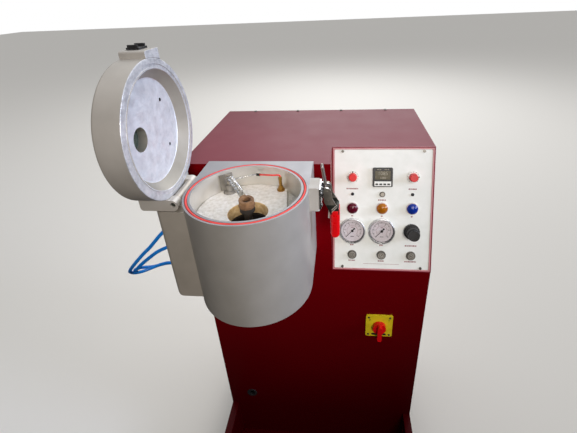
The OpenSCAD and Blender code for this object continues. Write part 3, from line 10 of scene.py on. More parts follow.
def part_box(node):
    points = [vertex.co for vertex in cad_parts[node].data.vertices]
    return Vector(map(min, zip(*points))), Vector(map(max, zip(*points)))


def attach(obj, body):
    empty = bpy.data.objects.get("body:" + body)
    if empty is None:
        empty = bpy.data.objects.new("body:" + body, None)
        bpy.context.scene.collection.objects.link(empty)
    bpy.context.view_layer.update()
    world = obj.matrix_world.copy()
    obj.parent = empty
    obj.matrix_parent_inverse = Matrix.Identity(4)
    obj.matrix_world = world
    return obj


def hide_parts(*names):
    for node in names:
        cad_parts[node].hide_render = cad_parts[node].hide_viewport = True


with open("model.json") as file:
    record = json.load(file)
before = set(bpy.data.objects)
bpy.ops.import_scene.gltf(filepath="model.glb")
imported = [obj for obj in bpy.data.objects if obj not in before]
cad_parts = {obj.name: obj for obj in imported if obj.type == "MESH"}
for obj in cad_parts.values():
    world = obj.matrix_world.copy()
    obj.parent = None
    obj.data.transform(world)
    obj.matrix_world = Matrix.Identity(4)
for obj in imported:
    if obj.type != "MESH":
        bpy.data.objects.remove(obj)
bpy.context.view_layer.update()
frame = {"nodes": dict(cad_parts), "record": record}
nodes = frame["nodes"]
bodyOf = {
    node: body for body, names in frame["record"]["behaviour"]["bodies"].items() for node in names
}
print("frame loaded:", len(nodes), "nodes")

# The camera stands close in front of the console and looks down into the chamber
camera = {
    "place": (0.0784, -0.7726, 1.4639),
    "yaw": -6.443,  # degrees, to the left
    "pitch": 26.771,  # degrees, down
    "roll": -2.677,
    "focalPixels": 358.1,
    "middlePixels": (307.3, 173.2),  # where the lens axis meets the photograph
    "photoPixels": (577, 433),
    "sensor": 36,  # mm
    "nearest": 0.01,
}


def addObject(name, data):
    thing = bpy.data.objects.new(name, data)
    bpy.context.scene.collection.objects.link(thing)
    return thing


def aimCamera():
    data = bpy.data.cameras.new("camera")
    eye = addObject("camera", data)
    yaw, pitch, roll = (math.radians(camera[k]) for k in ("yaw", "pitch", "roll"))
    reach = math.cos(pitch)
    forward = Vector((math.sin(yaw) * reach, math.cos(yaw) * reach, -math.sin(pitch)))
    level = Vector((math.cos(yaw), -math.sin(yaw), 0))
    up = level.cross(forward)
    right = math.cos(roll) * level + math.sin(roll) * up
    top = -math.sin(roll) * level + math.cos(roll) * up
    turn = Matrix((right, top, -forward)).transposed().to_4x4()
    eye.matrix_world = Matrix.Translation(camera["place"]) @ turn
    wide, high = camera["photoPixels"]
    data.sensor_width = camera["sensor"]
    data.lens = camera["sensor"] * camera["focalPixels"] / wide
    data.shift_x = (wide / 2 - camera["middlePixels"][0]) / wide
    data.shift_y = (camera["middlePixels"][1] - high / 2) / wide
    data.clip_start = camera["nearest"]
    bpy.context.scene.camera = eye


aimCamera()
print("camera set")


def hexToLinear(code):
    parts = [int(code[i : i + 2], 16) / 255 for i in (1, 3, 5)]
    return [c / 12.92 if c <= 0.04045 else ((c + 0.055) / 1.055) ** 2.4 for c in parts] + [1]


# Gives a socket another node's output, a hex colour or a plain value
def fill(material, socket, value):
    if isinstance(value, bpy.types.NodeSocket):
        material.node_tree.links.new(value, socket)
    else:
        socket.default_value = hexToLinear(value) if isinstance(value, str) else value


def addNode(material, kind, inputs=None, **settings):
    node = material.node_tree.nodes.new("ShaderNode" + kind)
    for name, value in settings.items():
        setattr(node, name, value)
    for socket, value in (inputs or {}).items():
        fill(material, node.inputs[socket], value)
    return node


# Fills the shader's own sockets, with _ for each space in a socket's name
def setShader(material, **sockets):
    shader = material.node_tree.nodes["Principled BSDF"]
    for name, value in sockets.items():
        fill(material, shader.inputs[name.replace("_", " ")], value)
    return material


def newMaterial(name, **sockets):
    material = bpy.data.materials.new(name)
    material.use_nodes = True
    return setShader(material, **sockets)


# Moves a value's range from start and end to low and high
def remap(material, value, start, end, low=0.0, high=1.0):
    return addNode(material, "MapRange", {
        "Value": value, "From Min": start, "From Max": end, "To Min": low, "To Max": high,
    }).outputs[0]


# A cloudy pattern whose patches are about size across, as a factor that runs from low to high
def clouds(material, size, low=0.0, high=1.0, detail=3.0, stretch=(1, 1, 1), sharp=0.2):
    place = addNode(material, "TexCoord").outputs["Object"]
    scale = [s / size for s in stretch]
    scaled = addNode(material, "Mapping", {"Vector": place, "Scale": scale}).outputs[0]
    noise = addNode(material, "TexNoise", {"Vector": scaled, "Scale": 1.0, "Detail": detail})
    return remap(material, noise.outputs["Fac"], 0.5 - sharp, 0.5 + sharp, low, high)


# A factor that runs from 0 to 1 between two heights
def heightRamp(material, start, end):
    place = addNode(material, "TexCoord").outputs["Object"]
    return remap(material, addNode(material, "SeparateXYZ", {0: place}).outputs["Z"], start, end)


def blendColours(material, factor, first, second):
    inputs = {0: factor, 6: first, 7: second}
    return addNode(material, "Mix", inputs, data_type="RGBA").outputs[2]


# Raises the surface by height metres where the factor is 1
def bumpFrom(material, factor, height, below=None):
    inputs = {"Height": factor, "Distance": height, "Strength": 1.0}
    if below is not None:
        inputs["Normal"] = below
    return addNode(material, "Bump", inputs).outputs[0]


# Enamel sprayed on sheet steel: deep colour, a soft gloss, the low swell of orange peel, and
# painted shade that darkens it towards the bottom
def glossEnamel(name, light, dark, low, rough, gloss):
    material = newMaterial(name, IOR=1.4, Specular_IOR_Level=gloss)
    tone = blendColours(material, clouds(material, 0.3, sharp=0.3), light, dark)
    peel = clouds(material, 0.006, detail=1)  # peel is 2 to 3 mm, drawn at 6 to show
    return setShader(
        material,
        # Painted shade: the colour goes over to the low one from 0.95 m down to 0.2 m
        Base_Color=blendColours(material, heightRamp(material, 0.95, 0.2), tone, low),
        Roughness=clouds(material, 0.06, rough - 0.03, rough + 0.03),
        Normal=bumpFrom(material, peel, 0.00002),
    )


# Aluminium blasted with fine grit, which breaks the reflection into a soft grey sheen
def blastedAluminium(name, light, dark, metal, rough):
    material = newMaterial(name, Metallic=metal)
    grit = clouds(material, 0.0016, detail=2)  # grit is 0.3 mm, drawn at 1.6
    return setShader(
        material,
        Base_Color=blendColours(material, clouds(material, 0.05, sharp=0.3), light, dark),
        Roughness=clouds(material, 0.02, rough - 0.02, rough + 0.03),
        Normal=bumpFrom(material, grit, 0.00001),
    )


# Sand-cast aluminium that was skimmed bright and then handled: streaks, scuffs and dull patches
def skimmedCasting(name, light, dark, rough, depth):
    material = newMaterial(name, Metallic=0.55)
    patches = clouds(material, 0.022, detail=8, sharp=0.24)
    scuffs = clouds(material, 0.007, 0.0, 0.45, detail=6, sharp=0.16)
    streaks = clouds(material, 0.006, detail=5, stretch=(1, 0.22, 0.9), sharp=0.12)
    scratches = bumpFrom(material, streaks, depth)
    tone = blendColours(material, patches, light, dark)
    return setShader(
        material,
        Base_Color=blendColours(material, scuffs, tone, "#f4f6fa"),
        Roughness=clouds(material, 0.018, rough - 0.08, rough + 0.12, detail=5),
        Normal=bumpFrom(material, clouds(material, 0.0022), depth / 2, scratches),
    )


# Ceramic fibre board: matted fibres, with tan scorch near the heat and grey smears of handling
def feltedBoard(name, pale, grey, tan):
    material = newMaterial(name, Roughness=0.95)
    matt = blendColours(material, clouds(material, 0.008, detail=8), pale, grey)
    scorch = clouds(material, 0.04, 0.0, 0.22, detail=6)
    fibres = clouds(material, 0.003, detail=8, stretch=(1, 0.3, 1), sharp=0.12)
    felt = bumpFrom(material, fibres, 0.0006)
    return setShader(
        material,
        Base_Color=blendColours(material, scorch, matt, tan),
        Normal=bumpFrom(material, clouds(material, 0.014, detail=4), 0.0008, felt),
    )


# Plain moulded or rolled surface with a faint unevenness in its tone, gloss and skin
def mouldedSurface(name, colour, other, rough, metal=0.0, grain=0.0015, depth=0.00002):
    material = newMaterial(name, Metallic=metal)
    return setShader(
        material,
        Base_Color=blendColours(material, clouds(material, 0.02, detail=4), colour, other),
        Roughness=clouds(material, 0.008, rough * 0.85, min(1.0, rough * 1.2)),
        Normal=bumpFrom(material, clouds(material, grain, detail=2), depth),
    )


# What each function is given for its finishes
recipes = {
    glossEnamel: {  # light, dark, colour low down as painted shade, roughness, gloss
        "maroonEnamel": ("#740009", "#680007", "#400004", 0.28, 0.12),
        # The top's enamel is rosier for dust, and as painted sheen: the bright room's reflection
        # put into its colour
        "dustAndSheenEnamel": ("#82404b", "#763640", "#5c1c26", 0.42, 0.14),
        # The moulding's enamel is rosier than the cabinet's, as painted sheen, and its bead's is
        # pale pink, a painted highlight
        "mouldingEnamel": ("#8c303e", "#7c2634", "#7c2634", 0.24, 0.4),
        "beadHighlightEnamel": ("#dba0a4", "#cf9094", "#cf9094", 0.3, 0.4),
    },
    blastedAluminium: {  # light, dark, metallic, roughness
        "boreWall": ("#e6e3dc", "#d2cfc8", 0.7, 0.36),
        # The lid's recess wall is a darker beige than its face and sides, as painted shade
        "recessWall": ("#a9a59c", "#969288", 0.45, 0.5),
        "chamberAluminium": ("#b9b7b2", "#adaba6", 0.5, 0.46),
        "rimAluminium": ("#a0a0a4", "#909094", 0.55, 0.5),
        "lidCasting": ("#c6c2bb", "#b6b2ab", 0.35, 0.45),
        "postCasting": ("#c0bab0", "#aea89e", 0.5, 0.48),
        "padCasting": ("#bebbb6", "#b0ada8", 0.2, 0.6),
    },
    skimmedCasting: {  # light, dark, roughness, depth of its streaks
        "lidFace": ("#e8ecf2", "#d0d5dc", 0.5, 0.00012),
        "lidRim": ("#d8dade", "#b4b8be", 0.42, 0.0003),
    },
    feltedBoard: {  # pale, grey, tan
        "fibreBoard": ("#fbfaf8", "#dedbd5", "#cbb78f"),
        "greyerSegmentBoard": ("#d9d7d0", "#c2c0b8", "#bfb298"),
        "scorchedBoard": ("#ffe4b0", "#e0ba7e", "#c39a64"),
    },
    mouldedSurface: {  # colour, other colour, roughness, metallic, size and depth of its grain
        "whitePlate": ("#f0f4f1", "#e9eeea", 0.4),
        "blackPlastic": ("#1d1e20", "#131415", 0.45),
        "blackRubber": ("#17171a", "#0e0e10", 0.7),
        "darkSteel": ("#5a5e58", "#3c403b", 0.36, 0.9),
        "brightSteel": ("#d2d4d6", "#b4b7ba", 0.24, 1.0),
        "screwSteel": ("#77756f", "#5d5b56", 0.4, 0.8),
        "buttonSteel": ("#b5b1a8", "#9d9990", 0.38, 0.6),
        "hookSteel": ("#b0a8a1", "#8d857e", 0.34, 0.85),
        "leverSteel": ("#a09a90", "#7c766c", 0.34, 0.8),
        # The pale lever steel is wear beside the grip, and painted highlight in the bands on the
        # elbow
        "handledAndGlintSteel": ("#cbc4bd", "#aea79f", 0.5, 0.3),
        "guideSteel": ("#8f8b83", "#77736b", 0.6, 0.3),
        # The lamps' bezels are painted pale as a painted reflection
        "paleReflectionBezel": ("#d6cccb", "#c8bebd", 0.4),
        "wrappedFoil": ("#bab4a8", "#7d766a", 0.36, 0.9, 0.005, 0.0012),
        "chrome": ("#cfd1d3", "#bfc1c4", 0.3, 0.8),
        "brass": ("#c39a52", "#9c7436", 0.3, 1.0),
        "copper": ("#c27a4e", "#9c5a36", 0.34, 1.0),
        "graphite": ("#3a3634", "#242120", 0.6, 0.0, 0.002, 0.00008),
        "firedClay": ("#94704c", "#54392a", 0.85, 0.0, 0.004, 0.0009),
        "refractory": ("#d8d0c0", "#c0b6a2", 0.9, 0.0, 0.002, 0.0001),
        "silicone": ("#e8443e", "#d83c38", 0.5),
        "sleeveRubber": ("#f04038", "#d8362f", 0.5),
        "redPlastic": ("#e00a12", "#cc0810", 0.3),
        "yellowPlastic": ("#e3d022", "#d6c21a", 0.35),
        "blueTube": ("#1488ea", "#0f74d4", 0.3),
        "greyEnamel": ("#9aa0a6", "#8c9298", 0.5),
        "redLens": ("#5e0a22", "#4a061a", 0.14),
        "amberLens": ("#b06c12", "#945408", 0.14),
        "blueLens": ("#0e34a0", "#0a277f", 0.14),
        "dialWhite": ("#efe8ee", "#e6dfe6", 0.5),
        "displayOlive": ("#5b543c", "#4a4530", 0.25),
        "paleSkirt": ("#e8ebe6", "#dde1db", 0.35),
        "printedBlack": ("#1c1a1c", "#141214", 0.6),
        "printedMaroon": ("#8c2838", "#7c1e2e", 0.6),
        "printedGrey": ("#a8a392", "#8f8a78", 0.5),
    },
}
finish = {name: make(name, *row) for make, rows in recipes.items() for name, row in rows.items()}
finish["clearGlass"] = newMaterial("clearGlass", Base_Color="#30343a", Roughness=0.04, Alpha=0.07)
finish["sightGlass"] = newMaterial(
    "sightGlass", Base_Color="#9db3a4", Roughness=0.05, IOR=1.5, Transmission_Weight=0.85
)

# The finish of each CAD node that shows as it is
nodeFinishes = {
    "maroonEnamel": ["rear_cover"],
    "screwSteel": ["fasteners"],
    "buttonSteel": ["push_button_left", "push_button_middle", "push_button_right", "small_button"],
    "hookSteel": ["latch_hook"],
    "brass": ["rear_connections", "hose_fittings"],
    "blackRubber": ["grommets"],
    "blackPlastic": ["indicator_leds"],
    "displayOlive": ["controller_window"],
    "dialWhite": ["gauge_dials"],
    "clearGlass": ["gauge_lenses"],
    "graphite": ["crucible"],
    "refractory": ["crucible_sleeve"],
    "copper": ["induction_coil"],
    "darkSteel": ["outlet_flange", "hinge_pin"],
    "sightGlass": ["sight_glass"],
    "greyEnamel": ["induction_generator"],
}

for coat, names in nodeFinishes.items():
    for name in names:
        nodes[name].data.materials.clear()
        nodes[name].data.materials.append(finish[coat])
print("finishes on the frame")


# Hides the node that a piece stands for, if any, and hangs the piece on the body that it rides on
def settle(piece, body, node=None):
    if node:
        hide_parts(node)
    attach(piece, body)
    return piece


# A piece that stands for a node has the node's own body, and the node is hidden
def standFor(piece, node):
    return settle(piece, bodyOf[node], node)


# Air tubes, 8 mm polyurethane: from the fittings on the post round to the front panel, in mm
airTubes = {
    "diameter": 0.008,
    "upper": [
        (-285, -150, 1015), (-296, -150, 1015), (-313, -152, 1007), (-330, -154, 992),
        (-346, -155, 975), (-362, -156, 958), (-378, -157, 943), (-394, -158, 927),
        (-409, -158, 911), (-424, -153, 894), (-438, -145, 877), (-448, -132, 860),
        (-449, -118, 845), (-439, -104, 837), (-422, -93, 838), (-400, -89, 846),
        (-378, -90, 855), (-355, -94, 861), (-331, -96, 863), (-308, -93, 863),
        (-287, -85, 862), (-274, -70, 862), (-270, -54, 862), (-270, -44, 862),
    ],
    "lower": [
        (-285, -150, 962), (-296, -150, 962), (-314, -150, 959), (-334, -151, 951),
        (-353, -151, 940), (-371, -151, 926), (-388, -150, 912), (-405, -149, 897),
        (-420, -144, 881), (-433, -135, 868), (-442, -120, 858), (-446, -104, 848),
        (-439, -90, 839), (-422, -81, 834), (-402, -78, 838), (-381, -79, 845),
        (-359, -81, 849), (-337, -82, 851), (-314, -83, 851), (-292, -83, 851),
        (-270, -79, 851), (-256, -66, 851), (-252, -52, 851), (-252, -44, 851),
    ],
}


# A round tube on a smooth curve through the points
def tubeAlong(name, points, radius, coat):
    curve = bpy.data.curves.new(name, "CURVE")
    curve.dimensions = "3D"
    curve.bevel_depth = radius
    curve.bevel_resolution = 5
    curve.use_fill_caps = True
    spline = curve.splines.new("BEZIER")
    spline.resolution_u = 6
    spline.bezier_points.add(len(points) - 1)
    for knot, point in zip(spline.bezier_points, points):
        knot.co = point
        knot.handle_left_type = knot.handle_right_type = "AUTO"
    curve.materials.append(finish[coat])
    return addObject(name, curve)


for end in ("upper", "lower"):
    points = [Vector(p) / 1000 for p in airTubes[end]]
    tube = tubeAlong(end + "AirTube", points, airTubes["diameter"] / 2, "blueTube")
    standFor(tube, "hose_" + end)


# Selects these pieces and nothing else
def select(*pieces):
    bpy.ops.object.select_all(action="DESELECT")
    for piece in pieces:
        piece.select_set(True)
    bpy.context.view_layer.objects.active = pieces[0] if pieces else None


def applyModifier(piece, kind, **settings):
    select(piece)
    step = piece.modifiers.new(kind.lower(), kind)
    for name, value in settings.items():
        setattr(step, name, value)
    bpy.ops.object.modifier_apply(modifier=step.name)


def editAll():
    bpy.ops.object.mode_set(mode="EDIT")
    bpy.ops.mesh.select_all(action="SELECT")


# Turns all faces outwards and goes back to object mode
def faceOut():
    bpy.ops.mesh.select_all(action="SELECT")
    bpy.ops.mesh.normals_make_consistent(inside=False)
    bpy.ops.object.mode_set(mode="OBJECT")


# Takes the primitive just added: its name, its finish, and its place put into its mesh
def take(name, coat=None):
    piece = bpy.context.object
    piece.name = name
    bpy.ops.object.transform_apply()
    if coat:
        piece.data.materials.append(finish[coat])
    return piece


def cylinder(name, radius, depth, centre, turn=(0, 0, 0), sides=96, coat=None):
    select()
    bpy.ops.mesh.primitive_cylinder_add(
        vertices=sides, radius=radius, depth=depth, location=centre, rotation=turn
    )
    return take(name, coat)


# A block from its middle and its three sizes, before it is stood in its place
def block(name, centre, size, coat=None):
    select()
    bpy.ops.mesh.primitive_cube_add(size=1, location=centre, scale=size)
    return take(name, coat)


# Turns a closed outline of (radius, height) points once round Z, then stands it in its place
def spun(name, outline, stand, steps, coat=None):
    select()
    bpy.ops.mesh.primitive_circle_add(vertices=len(outline), radius=1, location=(0, 0, 0))
    piece = take(name, coat)
    for vertex, (radius, height) in zip(piece.data.vertices, outline):
        vertex.co = (radius, 0, height)
    editAll()
    bpy.ops.mesh.spin(steps=steps, angle=2 * math.pi, center=(0, 0, 0), axis=(0, 0, 1))
    bpy.ops.mesh.select_all(action="SELECT")
    bpy.ops.mesh.remove_doubles(threshold=1e-6)
    bpy.ops.mesh.dissolve_degenerate()
    faceOut()
    piece.data.transform(stand)
    return piece


# Points of an outline on an arc, from one angle to another
def arc(across, up, radius, start, end, steps):
    angles = [start + (end - start) * i / steps for i in range(steps + 1)]
    return [(across + radius * math.cos(a), up + radius * math.sin(a)) for a in angles]


# A copy of a CAD node whose loose triangles are merged into whole faces
def copyNode(node, name, coat):
    piece = addObject(name, nodes[node].data.copy())
    piece.data.materials.clear()
    piece.data.materials.append(finish[coat])
    select(piece)
    editAll()
    bpy.ops.mesh.remove_doubles(threshold=2e-6)
    bpy.ops.mesh.dissolve_limited(angle_limit=math.radians(0.6))
    bpy.ops.object.mode_set(mode="OBJECT")
    return piece


def smoothen(piece, angle=48):
    select(piece)
    bpy.ops.object.shade_smooth_by_angle(angle=math.radians(angle))


def bevel(piece, width, steps=2, sharp=30):
    applyModifier(
        piece, "BEVEL", width=width, segments=steps, limit_method="ANGLE",
        angle_limit=math.radians(sharp),
    )


# Breaks the sharp edges and shades the faces as one skin
def breakEdges(piece, width, steps=2, sharp=32):
    bevel(piece, width, steps, sharp)
    smoothen(piece)
    applyModifier(piece, "WEIGHTED_NORMAL", keep_sharp=True, weight=60)


def carve(piece, cutter):
    applyModifier(
        piece, "BOOLEAN", object=cutter, operation="DIFFERENCE", solver="EXACT",
        material_mode="TRANSFER",
    )
    bpy.data.objects.remove(cutter)


def join(name, pieces, coat=None):
    select(*pieces)
    bpy.ops.object.join()
    pieces[0].name = name
    if coat:
        pieces[0].data.materials.clear()
        pieces[0].data.materials.append(finish[coat])
    return pieces[0]


# Plain figures, cut out thin and laid on the XY plane
def figures(words, high, centre, thick):
    select()
    bpy.ops.object.text_add(location=(0, 0, 0))
    text = bpy.context.object.data
    text.body = words
    text.size = high
    text.extrude = thick / 2
    text.align_x = text.align_y = "CENTER"
    text.resolution_u = 3
    bpy.ops.object.convert(target="MESH")
    piece = bpy.context.object
    piece.data.transform(Matrix.Translation(centre))
    return piece


def turned(piece, degrees, axis="Z"):
    piece.data.transform(Matrix.Rotation(math.radians(degrees), 4, axis))
    return piece


# Paints the faces that a test picks; the test gets a face's centre and normal
def paintFaces(piece, coat, test):
    material = finish[coat]
    if material.name not in piece.data.materials:
        piece.data.materials.append(material)
    number = piece.data.materials.find(material.name)
    for face in piece.data.polygons:
        if test(face.center, face.normal):
            face.material_index = number


# Cuts a piece's faces along a plane, so that each side can be painted on its own
def scoreFaces(piece, place, normal):
    mesh = bmesh.new()
    mesh.from_mesh(piece.data)
    everything = mesh.verts[:] + mesh.edges[:] + mesh.faces[:]
    bmesh.ops.bisect_plane(mesh, geom=everything, dist=1e-6, plane_co=place, plane_no=normal)
    mesh.to_mesh(piece.data)
    mesh.free()


# Draws the points that a test picks in towards an upright axis
def slim(piece, axis, factor, test):
    for vertex in piece.data.vertices:
        if test(vertex.co):
            vertex.co.xy = axis.xy + (vertex.co - axis).xy * factor


# The chamber: a round pot with a square back, bored for the furnace and grooved for its gasket
low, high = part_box("chamber_body")
chamber = {
    "radius": (high.x - low.x) / 2,
    "centre": Vector(((low.x + high.x) / 2, low.y + (high.x - low.x) / 2, 0)),
    "back": high.y,
    "base": low.z,
    "top": high.z,
    "boreRadius": 0.1065,
    "innerRadius": 0.101,  # below the ledge that carries the board
    "floor": 0.015,
    "ledge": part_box("insulation_board")[0].z,
    "groove": (0.111, 0.117, 0.0054),  # inner radius, outer radius, depth
    "gasketHalf": 0.0023,  # half of the gasket's width
    "drain": (0.009, 0.1, 0.03),  # radius, length of its cutter, middle of it over the flange's
    "over": 0.01,  # how far the cutters stand over the rim
    "edge": 0.0014,
    "sides": 160,
}
chamber["stand"] = Matrix.Translation(chamber["centre"])


def buildChamber():
    c = chamber
    select()
    foot = c["centre"] + Vector((0, 0, c["base"]))
    bpy.ops.mesh.primitive_circle_add(vertices=c["sides"], radius=c["radius"], location=foot)
    body = take("chamberShell", "chamberAluminium")
    bpy.ops.object.mode_set(mode="EDIT")
    for nudge in (1e-5, -1e-5):  # the half behind the middle goes, then the two ends are picked
        for vertex in bmesh.from_edit_mesh(body.data).verts:
            vertex.select_set(vertex.co.y > c["centre"].y + nudge)
        if nudge > 0:
            bpy.ops.mesh.delete(type="VERT")
    toBack, toTop = c["back"] - c["centre"].y, c["top"] - c["base"]
    bpy.ops.mesh.extrude_vertices_move(TRANSFORM_OT_translate={"value": (0, toBack, 0)})
    bpy.ops.mesh.select_all(action="SELECT")
    bpy.ops.mesh.edge_face_add()
    bpy.ops.mesh.extrude_region_move(TRANSFORM_OT_translate={"value": (0, 0, toTop)})
    faceOut()
    radius, bore, ledge = c["innerRadius"], c["boreRadius"], c["ledge"]
    floor, over = c["base"] + c["floor"], c["top"] + c["over"]
    hollow = [(0, floor), (radius, floor), (radius, ledge), (bore, ledge), (bore, over), (0, over)]
    carve(body, spun("hollow", hollow, c["stand"], c["sides"], "boreWall"))
    inner, outer, deep = c["groove"]
    groove = [(inner, c["top"] - deep), (outer, c["top"] - deep), (outer, over), (inner, over)]
    carve(body, spun("groove", groove, c["stand"], c["sides"], "rimAluminium"))
    radius, length, rise = c["drain"]
    flangeLow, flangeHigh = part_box("outlet_flange")
    drainAt = flangeLow.lerp(flangeHigh, 0.5) + Vector((0, 0, rise))
    carve(body, cylinder("drain", radius, length, drainAt, coat="boreWall"))
    rim = c["top"] - c["edge"]
    paintFaces(body, "rimAluminium", lambda centre, normal: normal.z > 0.9 and centre.z > rim)
    breakEdges(body, c["edge"])
    standFor(body, "chamber_body")


def buildGasket():
    low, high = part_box("chamber_gasket")
    middle = (chamber["groove"][0] + chamber["groove"][1]) / 2
    half = chamber["gasketHalf"]
    outline = [(middle - half, low.z), (middle + half, low.z)]
    outline += arc(middle, high.z - half, half, 0, math.pi, 12)
    ring = spun("gasketRing", outline, chamber["stand"], 192, "silicone")
    smoothen(ring, 50)
    standFor(ring, "chamber_gasket")


buildChamber()
buildGasket()
print("chamber built")

# The lid, open: its axis lies along X, and its face looks to +X
low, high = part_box("lid_shell")
middle = Vector((high.x, (low.y + high.y) / 2, (low.z + high.z) / 2))
lid = {
    "radius": (high.z - low.z) / 2,
    "thickness": high.x - low.x,
    "face": high.x,
    "stand": Matrix.Translation(middle) @ Matrix.Rotation(math.radians(-90), 4, "Y"),
    "recess": (0.109, 0.096, 0.020),  # radius at the face, radius at its floor, depth
    "fillet": 0.0035,  # round the recess's floor
    "mouth": 0.0008,  # broken edge of the recess
    "track": (0.1115, 0.1175, 0.0015),  # shallow ring where the gasket seats
    "rim": [(0.0016, 0), (0.0005, 0.0005), (0, 0.0016)],  # in from the outside, back from the face
    "round": 0.005,
    "sight": (0.0215, 0.0263, 0.012, -0.045),  # radius, the glass's seat: radius, depth, across
    "ports": (0.0035, 0.032, 0.045, 0.049),  # radius, depth, up, back
    "cutter": 0.1,
    "over": 0.01,
    "edge": 0.0008,
    "paint": {  # from and to of the normal's X, from and to of the depth behind the face
        "lidFace": (0.75, 2, 0.01, 1),
        "lidRim": (0.2, 2, -1, 0.003),
        # Painted shade: the recess wall gets the darker beige
        "recessWall": (0.3, 0.75, 0.003, 1),
    },
}


def buildLid():
    stand, r, t, bend = (lid[k] for k in ("stand", "radius", "thickness", "round"))
    wide, narrow, deep = lid["recess"]
    fillet, mouth = lid["fillet"], lid["mouth"]
    inner, outer, shallow = lid["track"]
    slope = math.atan2(wide - narrow, deep)
    outline = [(0, deep)] + arc(narrow - fillet, deep - fillet, fillet, math.pi / 2, slope, 4)
    outline += [(wide, mouth), (wide + mouth, 0), (inner, 0), (inner, shallow), (outer, shallow)]
    outline += [(outer, 0)] + [(r - across, back) for across, back in lid["rim"]]
    outline += arc(r - bend, t - bend, bend, 0, math.pi / 2, 6) + [(0, t)]
    shell = spun("lidShell", outline, stand, 160, "lidCasting")
    for coat, (least, most, near, far) in lid["paint"].items():

        def onBand(centre, normal):
            return least < normal.x < most and near < lid["face"] - centre.x < far

        paintFaces(shell, coat, onBand)
    quarter = (0, math.radians(90), 0)
    hole, seat, sink, across = lid["sight"]
    cut, over = lid["cutter"], lid["over"]
    through = stand @ Vector((0, across, 0))
    carve(shell, cylinder("sightHole", hole, 2 * cut, through, quarter, coat="recessWall"))
    back = stand @ Vector((0, across, t - sink + cut / 2))
    carve(shell, cylinder("sightSeat", seat, cut, back, quarter, coat="lidCasting"))
    radius, deep, up, behind = lid["ports"]
    for side in (-1, 1):
        at = stand @ Vector((side * up, behind, (deep - over) / 2))
        carve(shell, cylinder("port", radius, deep + over, at, quarter, 32, "darkSteel"))
    breakEdges(shell, lid["edge"], 2, 30)
    standFor(shell, "lid_shell")


buildLid()
print("lid built")

# Pieces with their node's own shape: width of the broken edge, its steps, finish
keptShapes = {
    "hinge_post": (0.0025, 3, "postCasting"),
    "lid_arms": (0.0014, 3, "lidCasting"),
    "lid_lug": (0.0016, 3, "lidCasting"),
    "clamp_pad": (0.001, 2, "padCasting"),
    "cabinet_shell": (0.0016, 3, "maroonEnamel"),
    "base_frame": (0.0014, 2, "maroonEnamel"),
    "console_panel": (0.0005, 2, "whitePlate"),
    "temp_controller": (0.0006, 2, "blackPlastic"),
    "switch_plate": (0.0009, 3, "yellowPlastic"),
    "switch_knob": (0.0014, 3, "redPlastic"),
    "latch_lever": (0.0006, 2, "darkSteel"),
    "latch_base": (0.0004, 2, "brightSteel"),
    "latch_grip": (0.0025, 4, "redPlastic"),
    "lift_arm": (0.0006, 2, "wrappedFoil"),
    "lift_guide": (0.0005, 2, "guideSteel"),
    "rod_holder": (0.001, 3, "firedClay"),
    "stopper_rod": (0.0006, 2, "graphite"),
    "control_bezels": (0.0005, 2, "screwSteel"),
    "gauge_cases": (0.0006, 3, "chrome"),
    "regulator_bonnet": (0.0004, 2, "blackPlastic"),
    "regulator_knob": (0.0006, 2, "blackPlastic"),
    "knob_left": (0.0007, 3, "redPlastic"),
    "knob_right": (0.0007, 3, "redPlastic"),
    "needle_left": (0.0001, 1, "printedBlack"),
    "needle_right": (0.0001, 1, "printedBlack"),
    "brass_gland": (0.0003, 2, "brass"),
    "insulation_board": (0.0014, 3, "fibreBoard"),
    "catch_plate": (0.0005, 2, "blackPlastic"),
    "sight_ring": (0.0006, 2, "darkSteel"),
}
otherNames = {"temp_controller": "controllerCase"}  # the others are named after their nodes

kept = {}
for node, (width, steps, coat) in keptShapes.items():
    first, *rest = node.split("_")
    name = otherNames.get(node, first + "".join(word.capitalize() for word in rest))
    piece = copyNode(node, name, coat)
    breakEdges(piece, width, steps)
    kept[node] = settle(piece, bodyOf[node], node)
print("kept shapes done:", len(kept))

# The console's slope: across is X, up the slope is Y, and out of it is Z
console = {
    "top": (0.175, -0.050 + 0.09995, 1.120),  # middle of its upper edge
    "lean": 18.2,  # degrees back from upright
    "length": 0.32001,
    "width": 0.250,
    "plate": 0.003,  # how far the white plate's face stands out
    "columns": 0.0735,
    # how far down the slope each row lies
    "knobs": 0.07501,
    "lamps": 0.15399,
    "gauges": 0.21249,
    "buttons": 0.27601,
}
upright = Matrix.Rotation(math.radians(90 - console["lean"]), 4, "X")
console["slope"] = Matrix.Translation(console["top"]) @ upright


# The matrix that stands a piece on the plate at a column (-1, 0 or 1) and a row
def onPlate(column, row):
    place = Vector((column * console["columns"], -console[row], console["plate"]))
    return console["slope"] @ Matrix.Translation(place)


# Joins parts into one piece and stands it in its place
def addPiece(name, parts, coat, stand, body):
    piece = join(name, parts, coat)
    piece.data.transform(stand)
    return settle(piece, body)


# The moulding round the plate: (in from its outer edge, height) of each line of its profile
moulding = {
    "wall": 0.0024,
    "profile": [
        (0.0007, 0.0037), (0.0014, 0.0044), (0.0021, 0.0045), (0.0026, 0.0041), (0.0030, 0.0031),
        (0.0044, 0.0031), (0.0048, 0.0038), (0.0053, 0.0044), (0.0059, 0.0044), (0.0063, 0.0040),
        (0.0065, 0.0),
    ],
    "bead": 0.0036,  # the bead beside the plate is painted pale pink, a painted highlight
}


